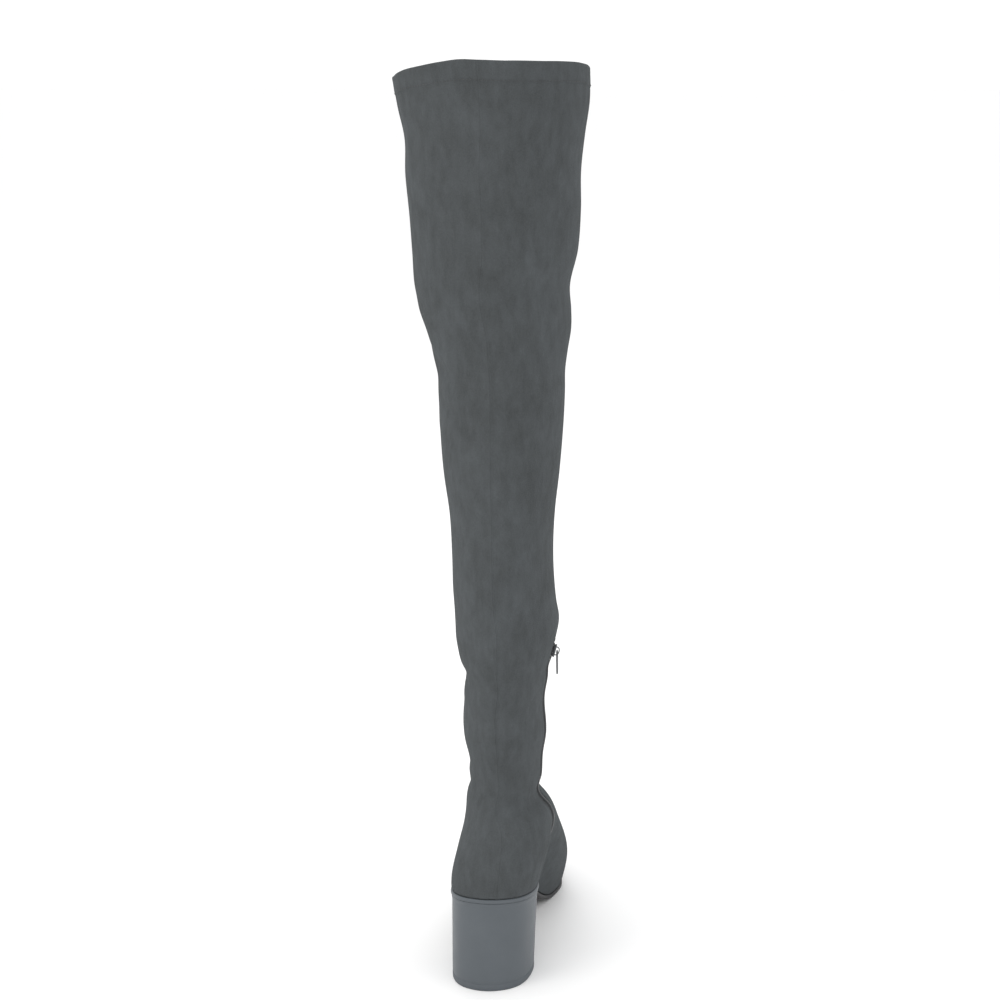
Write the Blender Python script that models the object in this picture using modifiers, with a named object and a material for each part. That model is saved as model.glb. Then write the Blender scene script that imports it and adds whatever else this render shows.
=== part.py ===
"""Thigh-high boot of stretch suede for the left foot, on a covered block heel.

Metres, +Z up, +Y towards the toe, +X towards the inner side of the leg.
The origin is on the floor, at the centre of the heel's tip.
"""
import math

import bpy
import numpy as np

for leftover in list(bpy.data.objects):
    bpy.data.objects.remove(leftover, do_unlink=True)

# Foot and sole
FOOT_LENGTH = 0.250
HEEL_BACK = 0.036
BALL_WIDTH = 0.076
SEAT_WIDTH = 0.0665
TOE_SPRING = 0.010
SOLE_THICKNESS = 0.0035
SOLE_EDGE = 0.0006
INSOLE_THICKNESS = 0.0025
TREAD_START = 0.140
TREAD_LENGTH = 0.034

# Heel
HEEL_HEIGHT = 0.074
HEEL_LENGTH = 0.060
HEEL_TAPER = 0.0012
HEEL_LEAN = 0.0018
HEEL_LIP = 0.0004
SEAT_SLOPE = 0.15
TIP_THICKNESS = 0.0055

# Leg
ANKLE_HEIGHT = 0.058
SHAFT_LENGTH = 0.567
WALL = 0.0016
ANKLE_WIDTH = 0.0545
ANKLE_DEPTH = 0.090
CALF_WIDTH = 0.0785
CALF_DEPTH = 0.116
KNEE_WIDTH = 0.094
KNEE_DEPTH = 0.122
COLLAR_WIDTH = 0.1415
COLLAR_DEPTH = 0.142
LEG_FORWARD = 0.020
HEM_HEIGHT = 0.015
HEM_STEP = 0.0005
SEAM_WIDTH = 0.0036
SEAM_RISE = 0.0007
SEAM_CROWN = 1.5

# Zip
ZIP_WIDTH = 0.0110
ZIP_TOP = 0.1335
ZIP_END = 0.0012
TAPE_THICKNESS = 0.0012
TEETH_WIDTH = 0.0044
TEETH_RISE = 0.0009
SLIDER_DROP = 0.0056
SLIDER_LENGTH = 0.0100
SLIDER_WIDTH = 0.0072
SLIDER_THICKNESS = 0.0014
SLIDER_LIFT = 0.0005
BRIDGE_LENGTH = 0.0074
BRIDGE_WIDTH = 0.0013
BRIDGE_OPENING = 0.0022
BRIDGE_THICKNESS = 0.0008
BRIDGE_ARCH = 0.6
PULL_LENGTH = 0.0185
PULL_WIDTH = 0.0048
PULL_THICKNESS = 0.0012
PULL_WINDOW = 0.0052

# Fits
GAP = 0.0003
EDGE_GAP = 0.00045
ANKLE_GAP = 0.0005
INSOLE_FIT = 0.0009

# Mesh fineness, and the ring of the foot where the zip's slot begins
COLUMNS = 60
SOLE_STATIONS = 46
ZIP_RINGS = 9
ZIP_FOOT_RING = 6

# Outline of the last's bottom edge, from the back of the heel round the inner side to the toe and
# back along the outer side: turn, share of the foot's length, distance from the centre line.
LAST_EDGE = (
    (0.000, 0.000, 0.000 * SEAT_WIDTH),
    (0.055, 0.022, 0.285 * SEAT_WIDTH),
    (0.115, 0.085, 0.466 * SEAT_WIDTH),
    (0.180, 0.200, 0.510 * SEAT_WIDTH),
    (0.250, 0.345, 0.290 * BALL_WIDTH),
    (0.310, 0.520, 0.300 * BALL_WIDTH),
    (0.360, 0.665, 0.405 * BALL_WIDTH),
    (0.405, 0.785, 0.480 * BALL_WIDTH),
    (0.440, 0.885, 0.400 * BALL_WIDTH),
    (0.472, 0.962, 0.240 * BALL_WIDTH),
    (0.503, 1.000, 0.045 * BALL_WIDTH),
    (0.535, 0.968, -0.150 * BALL_WIDTH),
    (0.568, 0.890, -0.310 * BALL_WIDTH),
    (0.606, 0.780, -0.425 * BALL_WIDTH),
    (0.650, 0.660, -0.490 * BALL_WIDTH),
    (0.700, 0.520, -0.490 * BALL_WIDTH),
    (0.755, 0.350, -0.430 * BALL_WIDTH),
    (0.820, 0.200, -0.486 * SEAT_WIDTH),
    (0.885, 0.085, -0.450 * SEAT_WIDTH),
    (0.945, 0.022, -0.285 * SEAT_WIDTH),
)

# How the upper rises from that edge: turn, outward swell of the side as a share of the ball's width,
# its upright rise as a share of the ankle's height, fall from the ankle as a share of the foot's length.
LAST_RISE = (
    (0.000, 0.066, 0.414, 0.080),
    (0.100, 0.066, 0.414, 0.080),
    (0.180, 0.099, 0.448, 0.080),
    (0.250, 0.145, 0.483, 0.076),
    (0.310, 0.138, 0.466, 0.104),
    (0.360, 0.118, 0.448, 0.160),
    (0.420, 0.086, 0.483, 0.248),
    (0.465, 0.072, 0.534, 0.288),
    (0.503, 0.072, 0.569, 0.304),
    (0.540, 0.072, 0.534, 0.288),
    (0.590, 0.092, 0.448, 0.248),
    (0.650, 0.105, 0.362, 0.200),
    (0.700, 0.092, 0.345, 0.160),
    (0.760, 0.053, 0.440, 0.110),
    (0.830, 0.016, 0.520, 0.050),
    (0.900, 0.040, 0.480, 0.066),
)

# Levels of the foot's rings, from the last's edge up and over to the ankle, as shares of that arc.
FOOT_SHARES = (0.0, 0.05, 0.11, 0.18, 0.26, 0.34, 0.42, 0.50, 0.58, 0.66, 0.74, 0.82, 0.91, 1.0)

# Sections of the leg: share of the shaft's length, width, depth, shift to the inner side as a share of
# this width, shift forward as a share of this depth.
LEG_SECTIONS = (
    (0.000, 1.170 * ANKLE_WIDTH, 1.04 * ANKLE_DEPTH, 0.148, 0.000),
    (0.014, 1.030 * ANKLE_WIDTH, 1.00 * ANKLE_DEPTH, 0.110, 0.011),
    (0.043, 1.004 * ANKLE_WIDTH, 0.98 * ANKLE_DEPTH, 0.156, 0.017),
    (0.073, 1.035 * ANKLE_WIDTH, 1.00 * ANKLE_DEPTH, 0.154, 0.006),
    (0.102, 1.142 * ANKLE_WIDTH, 1.05 * ANKLE_DEPTH, 0.135, -0.005),
    (0.160, 1.121 * ANKLE_WIDTH, 1.12 * ANKLE_DEPTH, 0.137, -0.020),
    (0.187, 0.789 * CALF_WIDTH, 0.90 * CALF_DEPTH, 0.169, -0.024),
    (0.201, 0.794 * CALF_WIDTH, 0.92 * CALF_DEPTH, 0.174, -0.028),
    (0.217, 0.883 * CALF_WIDTH, 0.94 * CALF_DEPTH, 0.149, -0.032),
    (0.231, 0.929 * CALF_WIDTH, 0.955 * CALF_DEPTH, 0.143, -0.034),
    (0.246, 0.971 * CALF_WIDTH, 0.97 * CALF_DEPTH, 0.142, -0.036),
    (0.266, 0.999 * CALF_WIDTH, 0.98 * CALF_DEPTH, 0.147, -0.037),
    (0.287, 0.980 * CALF_WIDTH, 0.985 * CALF_DEPTH, 0.135, -0.037),
    (0.360, 0.964 * CALF_WIDTH, 1.00 * CALF_DEPTH, 0.113, -0.034),
    (0.415, 1.000 * CALF_WIDTH, 1.00 * CALF_DEPTH, 0.108, -0.022),
    (0.470, 0.917 * KNEE_WIDTH, 0.98 * KNEE_DEPTH, 0.094, -0.008),
    (0.576, 0.997 * KNEE_WIDTH, 1.00 * KNEE_DEPTH, 0.087, 0.025),
    (0.630, 1.062 * KNEE_WIDTH, 1.02 * KNEE_DEPTH, 0.072, 0.032),
    (0.657, 1.124 * KNEE_WIDTH, 1.04 * KNEE_DEPTH, 0.064, 0.032),
    (0.684, 1.185 * KNEE_WIDTH, 1.06 * KNEE_DEPTH, 0.036, 0.031),
    (0.711, 0.801 * COLLAR_WIDTH, 0.92 * COLLAR_DEPTH, 0.018, 0.031),
    (0.762, 0.857 * COLLAR_WIDTH, 0.93 * COLLAR_DEPTH, 0.035, 0.027),
    (0.813, 0.883 * COLLAR_WIDTH, 0.94 * COLLAR_DEPTH, 0.037, 0.022),
    (0.865, 0.901 * COLLAR_WIDTH, 0.955 * COLLAR_DEPTH, 0.028, 0.018),
    (0.914, 0.922 * COLLAR_WIDTH, 0.97 * COLLAR_DEPTH, 0.039, 0.015),
    (0.958, 0.978 * COLLAR_WIDTH, 0.99 * COLLAR_DEPTH, 0.033, 0.011),
    (1.000, 1.000 * COLLAR_WIDTH, 1.00 * COLLAR_DEPTH, 0.021, 0.007),
)

# Dip of the collar's edge below its highest point, as a share of the hem's height: turn, dip.
COLLAR_DIP = (
    (0.00, 0.03), (0.07, 0.09), (0.15, 0.10), (0.20, 0.17), (0.25, 0.40), (0.31, 0.22), (0.37, 0.12),
    (0.43, 0.08), (0.50, 0.06), (0.56, 0.14), (0.60, 0.34), (0.68, 0.74), (0.75, 0.86), (0.81, 0.76),
    (0.86, 0.48), (0.90, 0.31), (0.94, 0.13), (0.975, 0.01),
)

# Sides of the heel: share of its height, share of the full taper, share of the lip that stands out.
HEEL_SIDES = (
    (0.00, 1.00, 0.0),
    (0.35, 0.68, 0.0),
    (0.70, 0.32, 0.0),
    (0.90, 0.11, 0.0),
    (0.955, 0.05, 0.3),
    (0.975, 0.02, 1.0),
    (1.00, 0.00, 1.0),
)

COLLECTION = bpy.data.collections.new("thigh_high_boot")
CUTTERS = bpy.data.collections.new("thigh_high_boot_cutters")


def smooth(table, column, at, period=None):
    """Cubic through one column of a table whose rows start with their key, with finite-difference slopes."""
    keys = np.array([row[0] for row in table])
    values = np.array([row[column] for row in table])
    at = np.asarray(at, dtype=float)
    if period:
        at = np.mod(at, period)
        keys = np.concatenate((keys[-2:] - period, keys, keys[:3] + period))
        values = np.concatenate((values[-2:], values, values[:3]))
    slopes = np.gradient(values, keys)
    cell = np.clip(np.searchsorted(keys, at, side="right") - 1, 0, len(keys) - 2)
    width = keys[cell + 1] - keys[cell]
    t = (at - keys[cell]) / width
    start = values[cell] * (1 + 2 * t) * (1 - t) ** 2 + slopes[cell] * width * t * (1 - t) ** 2
    end = values[cell + 1] * t ** 2 * (3 - 2 * t) - slopes[cell + 1] * width * t ** 2 * (1 - t)
    return start + end


def sole_height(y):
    """Height of the sole's underside: sloped seat, S-shaped waist, flat tread, and the toe's spring."""
    y = np.asarray(y, dtype=float)
    breast = HEEL_LENGTH - HEEL_BACK
    seat = HEEL_HEIGHT - SEAT_SLOPE * (y + HEEL_BACK)
    seat_end = HEEL_HEIGHT - SEAT_SLOPE * HEEL_LENGTH
    span = TREAD_START - breast
    t = np.clip((y - breast) / span, 0, 1)
    waist = seat_end * (1 + 2 * t) * (1 - t) ** 2 - SEAT_SLOPE * span * t * (1 - t) ** 2
    tread_end = TREAD_START + TREAD_LENGTH
    toe = FOOT_LENGTH - HEEL_BACK
    lift = np.clip((y - tread_end) / (toe - tread_end), 0, None)
    return np.where(y < breast, seat, waist + TOE_SPRING * lift ** 2)


def sole_stretch(y):
    """Ratio of a height to the thickness square to the sole, from the underside's slope."""
    step = 0.0005
    slope = (sole_height(y + step) - sole_height(y - step)) / (2 * step)
    return np.sqrt(1 + slope ** 2)


def sole_top(y, above=0.0):
    """Height of the outsole's upper face, and of what lies at a distance above it."""
    return sole_height(y) + (SOLE_THICKNESS + above) * sole_stretch(y)


def last_edge(turn, inset=0.0):
    """Point of the last's bottom edge at a turn, moved inwards in plan by the inset."""
    def plan(at):
        x = smooth(LAST_EDGE, 2, at, 1.0)
        y = smooth(LAST_EDGE, 1, at, 1.0) * FOOT_LENGTH - HEEL_BACK
        return x, y
    x, y = plan(turn)
    ahead = plan(turn + 0.002)
    behind = plan(turn - 0.002)
    along = np.array((ahead[0] - behind[0], ahead[1] - behind[1]))
    along = along / np.linalg.norm(along, axis=0)
    return x - inset * along[1], y + inset * along[0]


def foot_base():
    """Height of the floor of the shoe at the back of the heel, where the leg is measured from."""
    return HEEL_HEIGHT + SOLE_THICKNESS


def hem_share():
    """Level of the hem's lower edge on the leg."""
    return 1 - HEM_HEIGHT / SHAFT_LENGTH


def leg_point(share, turn):
    """Outer surface of the leg: ovals at each share of the shaft's length, with hem and back seam raised."""
    width = smooth(LEG_SECTIONS, 1, share)
    depth = smooth(LEG_SECTIONS, 2, share)
    inner = smooth(LEG_SECTIONS, 3, share) * width
    forward = smooth(LEG_SECTIONS, 4, share) * depth
    angle = 2 * math.pi * turn
    off_seam = np.abs(np.mod(turn + 0.5, 1.0) - 0.5) * math.pi * (width + depth) / 2
    seam = SEAM_RISE * np.clip(SEAM_CROWN - off_seam / (SEAM_WIDTH / 2), 0, 1)
    hem = HEM_STEP * np.clip((share - hem_share()) * SHAFT_LENGTH / HEM_STEP, 0, 1)
    x = inner + (width / 2 + hem) * np.sin(angle)
    y = LEG_FORWARD + forward - (depth / 2 + hem + seam) * np.cos(angle)
    dip = smooth(COLLAR_DIP, 1, turn, 1.0) * HEM_HEIGHT
    z = foot_base() + ANKLE_HEIGHT + share * (SHAFT_LENGTH - dip * share ** 6)
    return np.stack(np.broadcast_arrays(x, y, z), axis=-1)


def foot_point(share, turn):
    """Outer surface of the foot: a cubic arc from the last's edge, up the side and over to the ankle."""
    x, y = last_edge(turn)
    edge = np.stack((x, y, sole_top(y, EDGE_GAP)), axis=-1)
    out_x, out_y = last_edge(turn, -1.0)
    swell = smooth(LAST_RISE, 1, turn, 1.0) * BALL_WIDTH
    rise = smooth(LAST_RISE, 2, turn, 1.0) * ANKLE_HEIGHT
    fall = smooth(LAST_RISE, 3, turn, 1.0) * FOOT_LENGTH
    side = edge + np.stack(((out_x - x) * swell, (out_y - y) * swell, rise), axis=-1)
    ankle = leg_point(np.zeros_like(turn), turn)
    ankle[..., 2] -= ANKLE_GAP
    up = leg_point(np.full_like(turn, LEG_SECTIONS[1][0]), turn) - ankle
    up = up / np.linalg.norm(up, axis=-1, keepdims=True)
    over = ankle - up * fall[..., None]
    t = np.asarray(share)[..., None]
    return edge * (1 - t) ** 3 + 3 * side * t * (1 - t) ** 2 + 3 * over * t ** 2 * (1 - t) + ankle * t ** 3


def column_turns(half_slot):
    """Turns of the columns round the leg, from one edge of the zip's slot round to the other."""
    return 0.25 + half_slot + (1 - 2 * half_slot) * np.arange(COLUMNS) / (COLUMNS - 1)


def slot_turn(surface, share, half_width):
    """Turn that a half width takes up at the zip's centre line, at one share of a surface."""
    step = 0.004
    points = surface(np.full(2, share), np.array((0.25 - step, 0.25 + step)))
    return half_width * 2 * step / np.linalg.norm(points[1] - points[0])


def finish_mesh(name, vertices, faces, material, smooth_angle=40):
    """New mesh object in the collection, with its material, smooth but for sharp edges."""
    mesh = bpy.data.meshes.new(name)
    mesh.from_pydata([tuple(v) for v in vertices], [], faces)
    mesh.update()
    piece = bpy.data.objects.new(name, mesh)
    COLLECTION.objects.link(piece)
    mesh.materials.append(material)
    mesh.shade_smooth()
    mesh.set_sharp_from_angle(angle=math.radians(smooth_angle))
    return piece


def make_material(name, colour, roughness, metallic=0.0):
    """Principled material with one colour, roughness and metallic value."""
    material = bpy.data.materials.new(name)
    material.use_nodes = True
    shader = material.node_tree.nodes["Principled BSDF"]
    shader.inputs["Base Color"].default_value = (*colour, 1.0)
    shader.inputs["Roughness"].default_value = roughness
    shader.inputs["Metallic"].default_value = metallic
    return material


def make_wall(name, surface, shares, slot_rows, material):
    """Hollow wall: rings of points, open at both ends and along the zip's slot, thickened inwards."""
    vertices = []
    for share in shares:
        half = slot_turn(surface, share, ZIP_WIDTH / 2 + GAP)
        turns = column_turns(half)
        vertices.extend(surface(np.full(COLUMNS, share), turns))
    faces = []
    for row in range(len(shares) - 1):
        lower, upper = row * COLUMNS, (row + 1) * COLUMNS
        for column in range(COLUMNS):
            if column == COLUMNS - 1 and row in slot_rows:
                continue
            after = (column + 1) % COLUMNS
            faces.append((lower + column, lower + after, upper + after, upper + column))
    wall = finish_mesh(name, vertices, faces, material)
    thicken = wall.modifiers.new("wall", "SOLIDIFY")
    thicken.thickness = WALL
    thicken.offset = -1.0
    thicken.use_even_offset = True
    return wall


def leg_shares():
    """Levels of the leg's rings: even along the zip, the sections' own above it, a close pair at the hem."""
    top = ZIP_TOP / SHAFT_LENGTH
    hem = hem_share()
    below = list(np.linspace(0, top, ZIP_RINGS + 1))
    above = [row[0] for row in LEG_SECTIONS if top + ZIP_WIDTH / SHAFT_LENGTH < row[0] < hem]
    return below + above + [hem, hem + HEM_STEP / SHAFT_LENGTH, 1.0]


def make_upper(suede):
    """Foot of the boot: vamp, quarters and heel cup in one wall."""
    return make_wall("upper", foot_point, FOOT_SHARES, range(ZIP_FOOT_RING, len(FOOT_SHARES)), suede)


def make_shaft(suede):
    """Leg of the boot, from the ankle to the collar."""
    return make_wall("shaft", leg_point, leg_shares(), range(ZIP_RINGS), suede)


def sole_grid(inset, first_y=-FOOT_LENGTH, last_y=FOOT_LENGTH, strips=2):
    """Plan points of the sole between two places along the foot, from the outer edge to the inner one."""
    toe = LAST_EDGE[10][0]
    inner_x, inner_y = last_edge(np.linspace(0.0, toe, 400), inset)
    outer_x, outer_y = last_edge(np.linspace(toe, 1.0, 400), inset)
    low = max(inner_y.min() + GAP, first_y)
    high = min(inner_y.max() - GAP, last_y)
    spread = (1 - np.cos(np.linspace(0, math.pi, SOLE_STATIONS))) / 2
    stations = spread * FOOT_LENGTH - HEEL_BACK
    margin = FOOT_LENGTH / SOLE_STATIONS ** 2
    y = np.concatenate(([low], stations[(stations > low + margin) & (stations < high - margin)], [high]))
    right = np.interp(y, inner_y, inner_x)
    left = np.interp(y, outer_y[::-1], outer_x[::-1])
    across = np.linspace(0, 1, strips + 1)
    x = left[:, None] + (right - left)[:, None] * across
    return x, np.repeat(y[:, None], strips + 1, axis=1)


def slab(name, layers, material):
    """Closed solid: the first and last layers are sheets on one plan grid, the others only rings round it."""
    rows, strips = layers[0][0].shape
    rim = list(range(strips))
    rim += [row * strips + strips - 1 for row in range(1, rows)]
    rim += [(rows - 1) * strips + strip for strip in range(strips - 2, -1, -1)]
    rim += [row * strips for row in range(rows - 2, 0, -1)]
    sheets = [np.stack(layer, axis=-1).reshape(-1, 3) for layer in layers]
    count = rows * strips
    vertices = np.concatenate([sheets[0]] + [sheet[rim] for sheet in sheets[1:-1]] + [sheets[-1]])
    rings = [np.array(rim)]
    rings += [count + index * len(rim) + np.arange(len(rim)) for index in range(len(layers) - 2)]
    last = count + (len(layers) - 2) * len(rim)
    rings += [last + np.array(rim)]
    faces = []
    for row in range(rows - 1):
        for strip in range(strips - 1):
            a = row * strips + strip
            b, c, d = a + 1, a + strips + 1, a + strips
            faces.append((a, d, c, b))
            faces.append((last + a, last + b, last + c, last + d))
    for lower, upper in zip(rings, rings[1:]):
        for here in range(len(rim)):
            after = (here + 1) % len(rim)
            faces.append((int(lower[here]), int(lower[after]), int(upper[after]), int(upper[here])))
    return finish_mesh(name, vertices, faces, material)


def make_outsole(rubber):
    """Sole from toe to heel seat, a little proud of the upper all round."""
    x, y = sole_grid(-SOLE_EDGE)
    return slab("outsole", ((x, y, sole_height(y)), (x, y, sole_top(y))), rubber)


def make_insole(board):
    """Insole inside the upper, just above the outsole."""
    x, y = sole_grid(WALL + INSOLE_FIT)
    return slab("insole", ((x, y, sole_top(y, GAP)), (x, y, sole_top(y, GAP + INSOLE_THICKNESS))), board)


def make_heel(cover, lift):
    """Covered block that narrows downwards from a thin lip under the sole, and its tip on the floor."""
    x, y = sole_grid(0.0, last_y=HEEL_LENGTH - HEEL_BACK)
    middle = HEEL_LENGTH / 2 - HEEL_BACK
    seat = sole_height(y) - GAP * sole_stretch(y)
    foot = TIP_THICKNESS + GAP
    layers = []
    for share, taper, lip in HEEL_SIDES:
        narrow = 1 - 2 * (HEEL_TAPER * taper + HEEL_LIP * (1 - lip)) / SEAT_WIDTH
        along = middle + (y - middle) * narrow
        layers.append((x * narrow - HEEL_LEAN * taper, along, foot + (seat - foot) * share))
    heel = slab("heel", layers, cover)
    low_x, low_y, _ = layers[0]
    tip_layers = ((low_x, low_y, np.zeros_like(y)), (low_x, low_y, np.full_like(y, TIP_THICKNESS)))
    return heel, slab("heel_tip", tip_layers, lift)


def zip_frame(surface, share, step=0.003):
    """Point on the zip's centre line with the wall's outward, upward and sideways directions."""
    places = np.array([share, min(share + step, 1.0), max(share - step, 0.0), share, share])
    turns = np.array([0.25, 0.25, 0.25, 0.25 + step, 0.25 - step])
    here, above, below, ahead, behind = surface(places, turns)
    up = (above - below) / np.linalg.norm(above - below)
    side = ahead - behind
    side = side - up * side.dot(up)
    side = side / np.linalg.norm(side)
    return here, np.cross(side, up), up, side


def make_zip(tape):
    """Closed zip: a flat tape with the raised row of teeth along its middle, in the wall's slot."""
    half, teeth = ZIP_WIDTH / 2, TEETH_WIDTH / 2
    profile = ((-half, -TAPE_THICKNESS), (half, -TAPE_THICKNESS), (half, 0.0), (teeth, 0.0),
               (teeth, TEETH_RISE), (-teeth, TEETH_RISE), (-teeth, 0.0), (-half, 0.0))
    places = [(foot_point, FOOT_SHARES[ZIP_FOOT_RING] + GAP / ANKLE_HEIGHT)]
    places += [(foot_point, share) for share in FOOT_SHARES[ZIP_FOOT_RING + 1:-1]]
    places += [(leg_point, share) for share in leg_shares()[:ZIP_RINGS]]
    places += [(leg_point, (ZIP_TOP - ZIP_END) / SHAFT_LENGTH)]
    vertices = []
    for surface, share in places:
        out = zip_frame(surface, share)[1]
        turns = [0.25 + slot_turn(surface, share, across) for across, lift in profile]
        points = surface(np.full(len(profile), share), np.array(turns))
        vertices.extend(point + out * lift for point, (across, lift) in zip(points, profile))
    sides = len(profile)
    faces = [tuple(range(sides)), tuple(range(len(vertices) - 1, len(vertices) - sides - 1, -1))]
    for row in range(len(places) - 1):
        for side in range(sides):
            a, b = row * sides + side, row * sides + (side + 1) % sides
            faces.append((a, a + sides, b + sides, b))
    return finish_mesh("zip", vertices, faces, tape)


def outline_points(half_width, top, bottom, count=16, squareness=4.0):
    """Outline with rounded corners: a superellipse between a top and a bottom, as (across, along) pairs."""
    angles = 2 * math.pi * (np.arange(count) + 0.5) / count
    across = np.sign(np.cos(angles)) * np.abs(np.cos(angles)) ** (2 / squareness) * half_width
    along = np.sign(np.sin(angles)) * np.abs(np.sin(angles)) ** (2 / squareness)
    along = (top + bottom) / 2 + along * (top - bottom) / 2
    return np.stack((across, along), axis=-1)


def framed_plate(name, outer, inner, low, high, place, material):
    """Plate with a window: two outlines of as many points, joined front and back and through the thickness.

    Points are given as (across, along), and place turns (depth, across, along) into the part's frame.
    """
    count = len(outer)
    rings = ((outer, low), (inner, low), (inner, high), (outer, high))
    vertices = [place((depth, across, along)) for ring, depth in rings for across, along in ring]
    faces = []
    for ring in range(4):
        for index in range(count):
            after = (index + 1) % count
            a, b = ring * count, ((ring + 1) % 4) * count
            faces.append((a + after, a + index, b + index, b + after))
    return finish_mesh(name, vertices, faces, material, 30)


def arch_points(top, half_length, sunk):
    """Outline of an arch that springs from just inside a face, closed below, as (height, along) pairs."""
    angles = np.linspace(0, math.pi, 9)
    height = np.sin(angles).clip(0) ** BRIDGE_ARCH * (top + GAP) - GAP
    arch = np.stack((height, half_length * np.cos(angles)), axis=-1)
    ends = half_length * np.linspace(-0.8, 0.8, 3)
    return np.concatenate((arch, np.stack((np.full(3, -sunk), ends), axis=-1)))


def slider_frame():
    """Centre of the slider's face and its out, side and up directions, on the zip's last stretch."""
    end = (ZIP_TOP - ZIP_END) / SHAFT_LENGTH
    start = leg_shares()[ZIP_RINGS - 1]
    low, high = leg_point(np.array((start, end)), np.array((0.25, 0.25)))
    side = zip_frame(leg_point, end)[3]
    up = (high - low) / np.linalg.norm(high - low)
    out = np.cross(side, up)
    face = high - up * SLIDER_DROP + out * (TEETH_RISE + SLIDER_LIFT + SLIDER_THICKNESS)
    return face, out, side, up


def make_slider(metal):
    """Slider over the zip's teeth: a rounded body with a bridge that arches along it."""
    face, out, side, up = slider_frame()

    def place(local):
        depth, across, along = local
        return face + out * depth + side * across + up * along

    def along_side(local):
        across, depth, along = local
        return place((depth, across, along))

    outline = outline_points(SLIDER_WIDTH / 2, SLIDER_LENGTH / 2, -SLIDER_LENGTH / 2, 20, 3.2)
    vertices = [place((depth, a, b)) for depth in (-SLIDER_THICKNESS, 0.0) for a, b in outline]
    count = len(outline)
    faces = [tuple(range(count))[::-1], tuple(range(count, 2 * count))]
    faces += [(i, (i + 1) % count, count + (i + 1) % count, count + i) for i in range(count)]
    body = finish_mesh("zip_slider", vertices, faces, metal, 30)
    outer = arch_points(BRIDGE_OPENING + BRIDGE_THICKNESS, BRIDGE_LENGTH / 2, SLIDER_THICKNESS / 2)
    inner = arch_points(BRIDGE_OPENING, BRIDGE_LENGTH / 2 - BRIDGE_THICKNESS, 1.5 * GAP)
    bridge = framed_plate("zip_bridge", outer, inner, -BRIDGE_WIDTH / 2, BRIDGE_WIDTH / 2, along_side, metal)
    COLLECTION.objects.unlink(bridge)
    CUTTERS.objects.link(bridge)
    bridge.hide_render = True
    bridge.display_type = "WIRE"
    union = body.modifiers.new("bridge", "BOOLEAN")
    union.operation = "UNION"
    union.object = bridge
    union.solver = "EXACT"
    return body


def make_pull(metal):
    """Pull tab that hangs from the slider's bridge by the crossbar over its window."""
    face, out, side, up = slider_frame()
    axis = face + out * (BRIDGE_OPENING / 2)
    bar = PULL_THICKNESS / 2
    window = BRIDGE_WIDTH / 2 + 1.5 * GAP
    outer = outline_points(PULL_WIDTH / 2, bar, -PULL_LENGTH, 20, 5.0)
    inner = outline_points(window, -bar, -PULL_WINDOW, 20, 6.0)

    plumb = np.array((0.0, 0.0, 1.0)) - side * side[2]
    plumb = plumb / np.linalg.norm(plumb)
    front = np.cross(side, plumb)

    def place(local):
        depth, across, along = local
        return front * depth + side * across + plumb * along

    pull = framed_plate("zip_pull", outer, inner, -bar, bar, place, metal)
    pull.location = axis
    return pull


def main():
    for collection in (COLLECTION, CUTTERS):
        bpy.context.scene.collection.children.link(collection)
    suede = make_material("suede", (0.055, 0.058, 0.062), 0.95)
    cover = make_material("heel_cover", (0.070, 0.078, 0.088), 0.55)
    rubber = make_material("sole_rubber", (0.020, 0.020, 0.021), 0.60)
    board = make_material("insole_board", (0.120, 0.110, 0.100), 0.80)
    tape = make_material("zip_tape", (0.030, 0.030, 0.032), 0.70)
    metal = make_material("zip_metal", (0.40, 0.40, 0.41), 0.35, 1.0)
    make_upper(suede)
    make_shaft(suede)
    make_outsole(rubber)
    make_insole(board)
    make_heel(cover, rubber)
    make_zip(tape)
    make_slider(metal)
    make_pull(metal)


main()
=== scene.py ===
"""Looks of a thigh-high stretch suede boot with a covered block heel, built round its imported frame."""
import math

import bmesh
import bpy
import numpy as np
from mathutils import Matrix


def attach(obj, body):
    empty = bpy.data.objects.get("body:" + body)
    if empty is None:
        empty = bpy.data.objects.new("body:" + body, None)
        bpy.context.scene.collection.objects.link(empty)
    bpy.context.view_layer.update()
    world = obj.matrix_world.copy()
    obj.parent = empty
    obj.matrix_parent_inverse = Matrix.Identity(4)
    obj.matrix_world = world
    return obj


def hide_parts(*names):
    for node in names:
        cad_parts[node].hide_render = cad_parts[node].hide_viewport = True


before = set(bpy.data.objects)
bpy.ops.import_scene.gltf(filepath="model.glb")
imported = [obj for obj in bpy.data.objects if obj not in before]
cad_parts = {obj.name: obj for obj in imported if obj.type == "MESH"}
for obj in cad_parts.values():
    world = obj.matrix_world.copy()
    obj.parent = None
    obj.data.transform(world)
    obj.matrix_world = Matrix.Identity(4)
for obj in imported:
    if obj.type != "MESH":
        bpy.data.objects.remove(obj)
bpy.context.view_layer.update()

# Camera, seen from behind and a little above, at the height of the boot's collar.
# It stands where the photograph was taken from; its lens is shifted so that this one boot is in the middle.
CAMERA_PLACE = (0.197, -1.317, 0.700)
CAMERA_PITCH = 13.4
CAMERA_YAW = 5.4
CAMERA_LENS = 66.1
CAMERA_SHIFT = -0.085

camera_data = bpy.data.cameras.new("camera")
camera_data.lens = CAMERA_LENS
camera_data.sensor_width = 36.0
camera_data.shift_x = CAMERA_SHIFT
camera_data.clip_start = 0.05
camera_data.clip_end = 120.0
camera = bpy.data.objects.new("camera", camera_data)
camera.location = CAMERA_PLACE
camera.rotation_euler = (math.radians(90 - CAMERA_PITCH), 0.0, math.radians(CAMERA_YAW))
bpy.context.scene.collection.objects.link(camera)
bpy.context.scene.camera = camera

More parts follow.
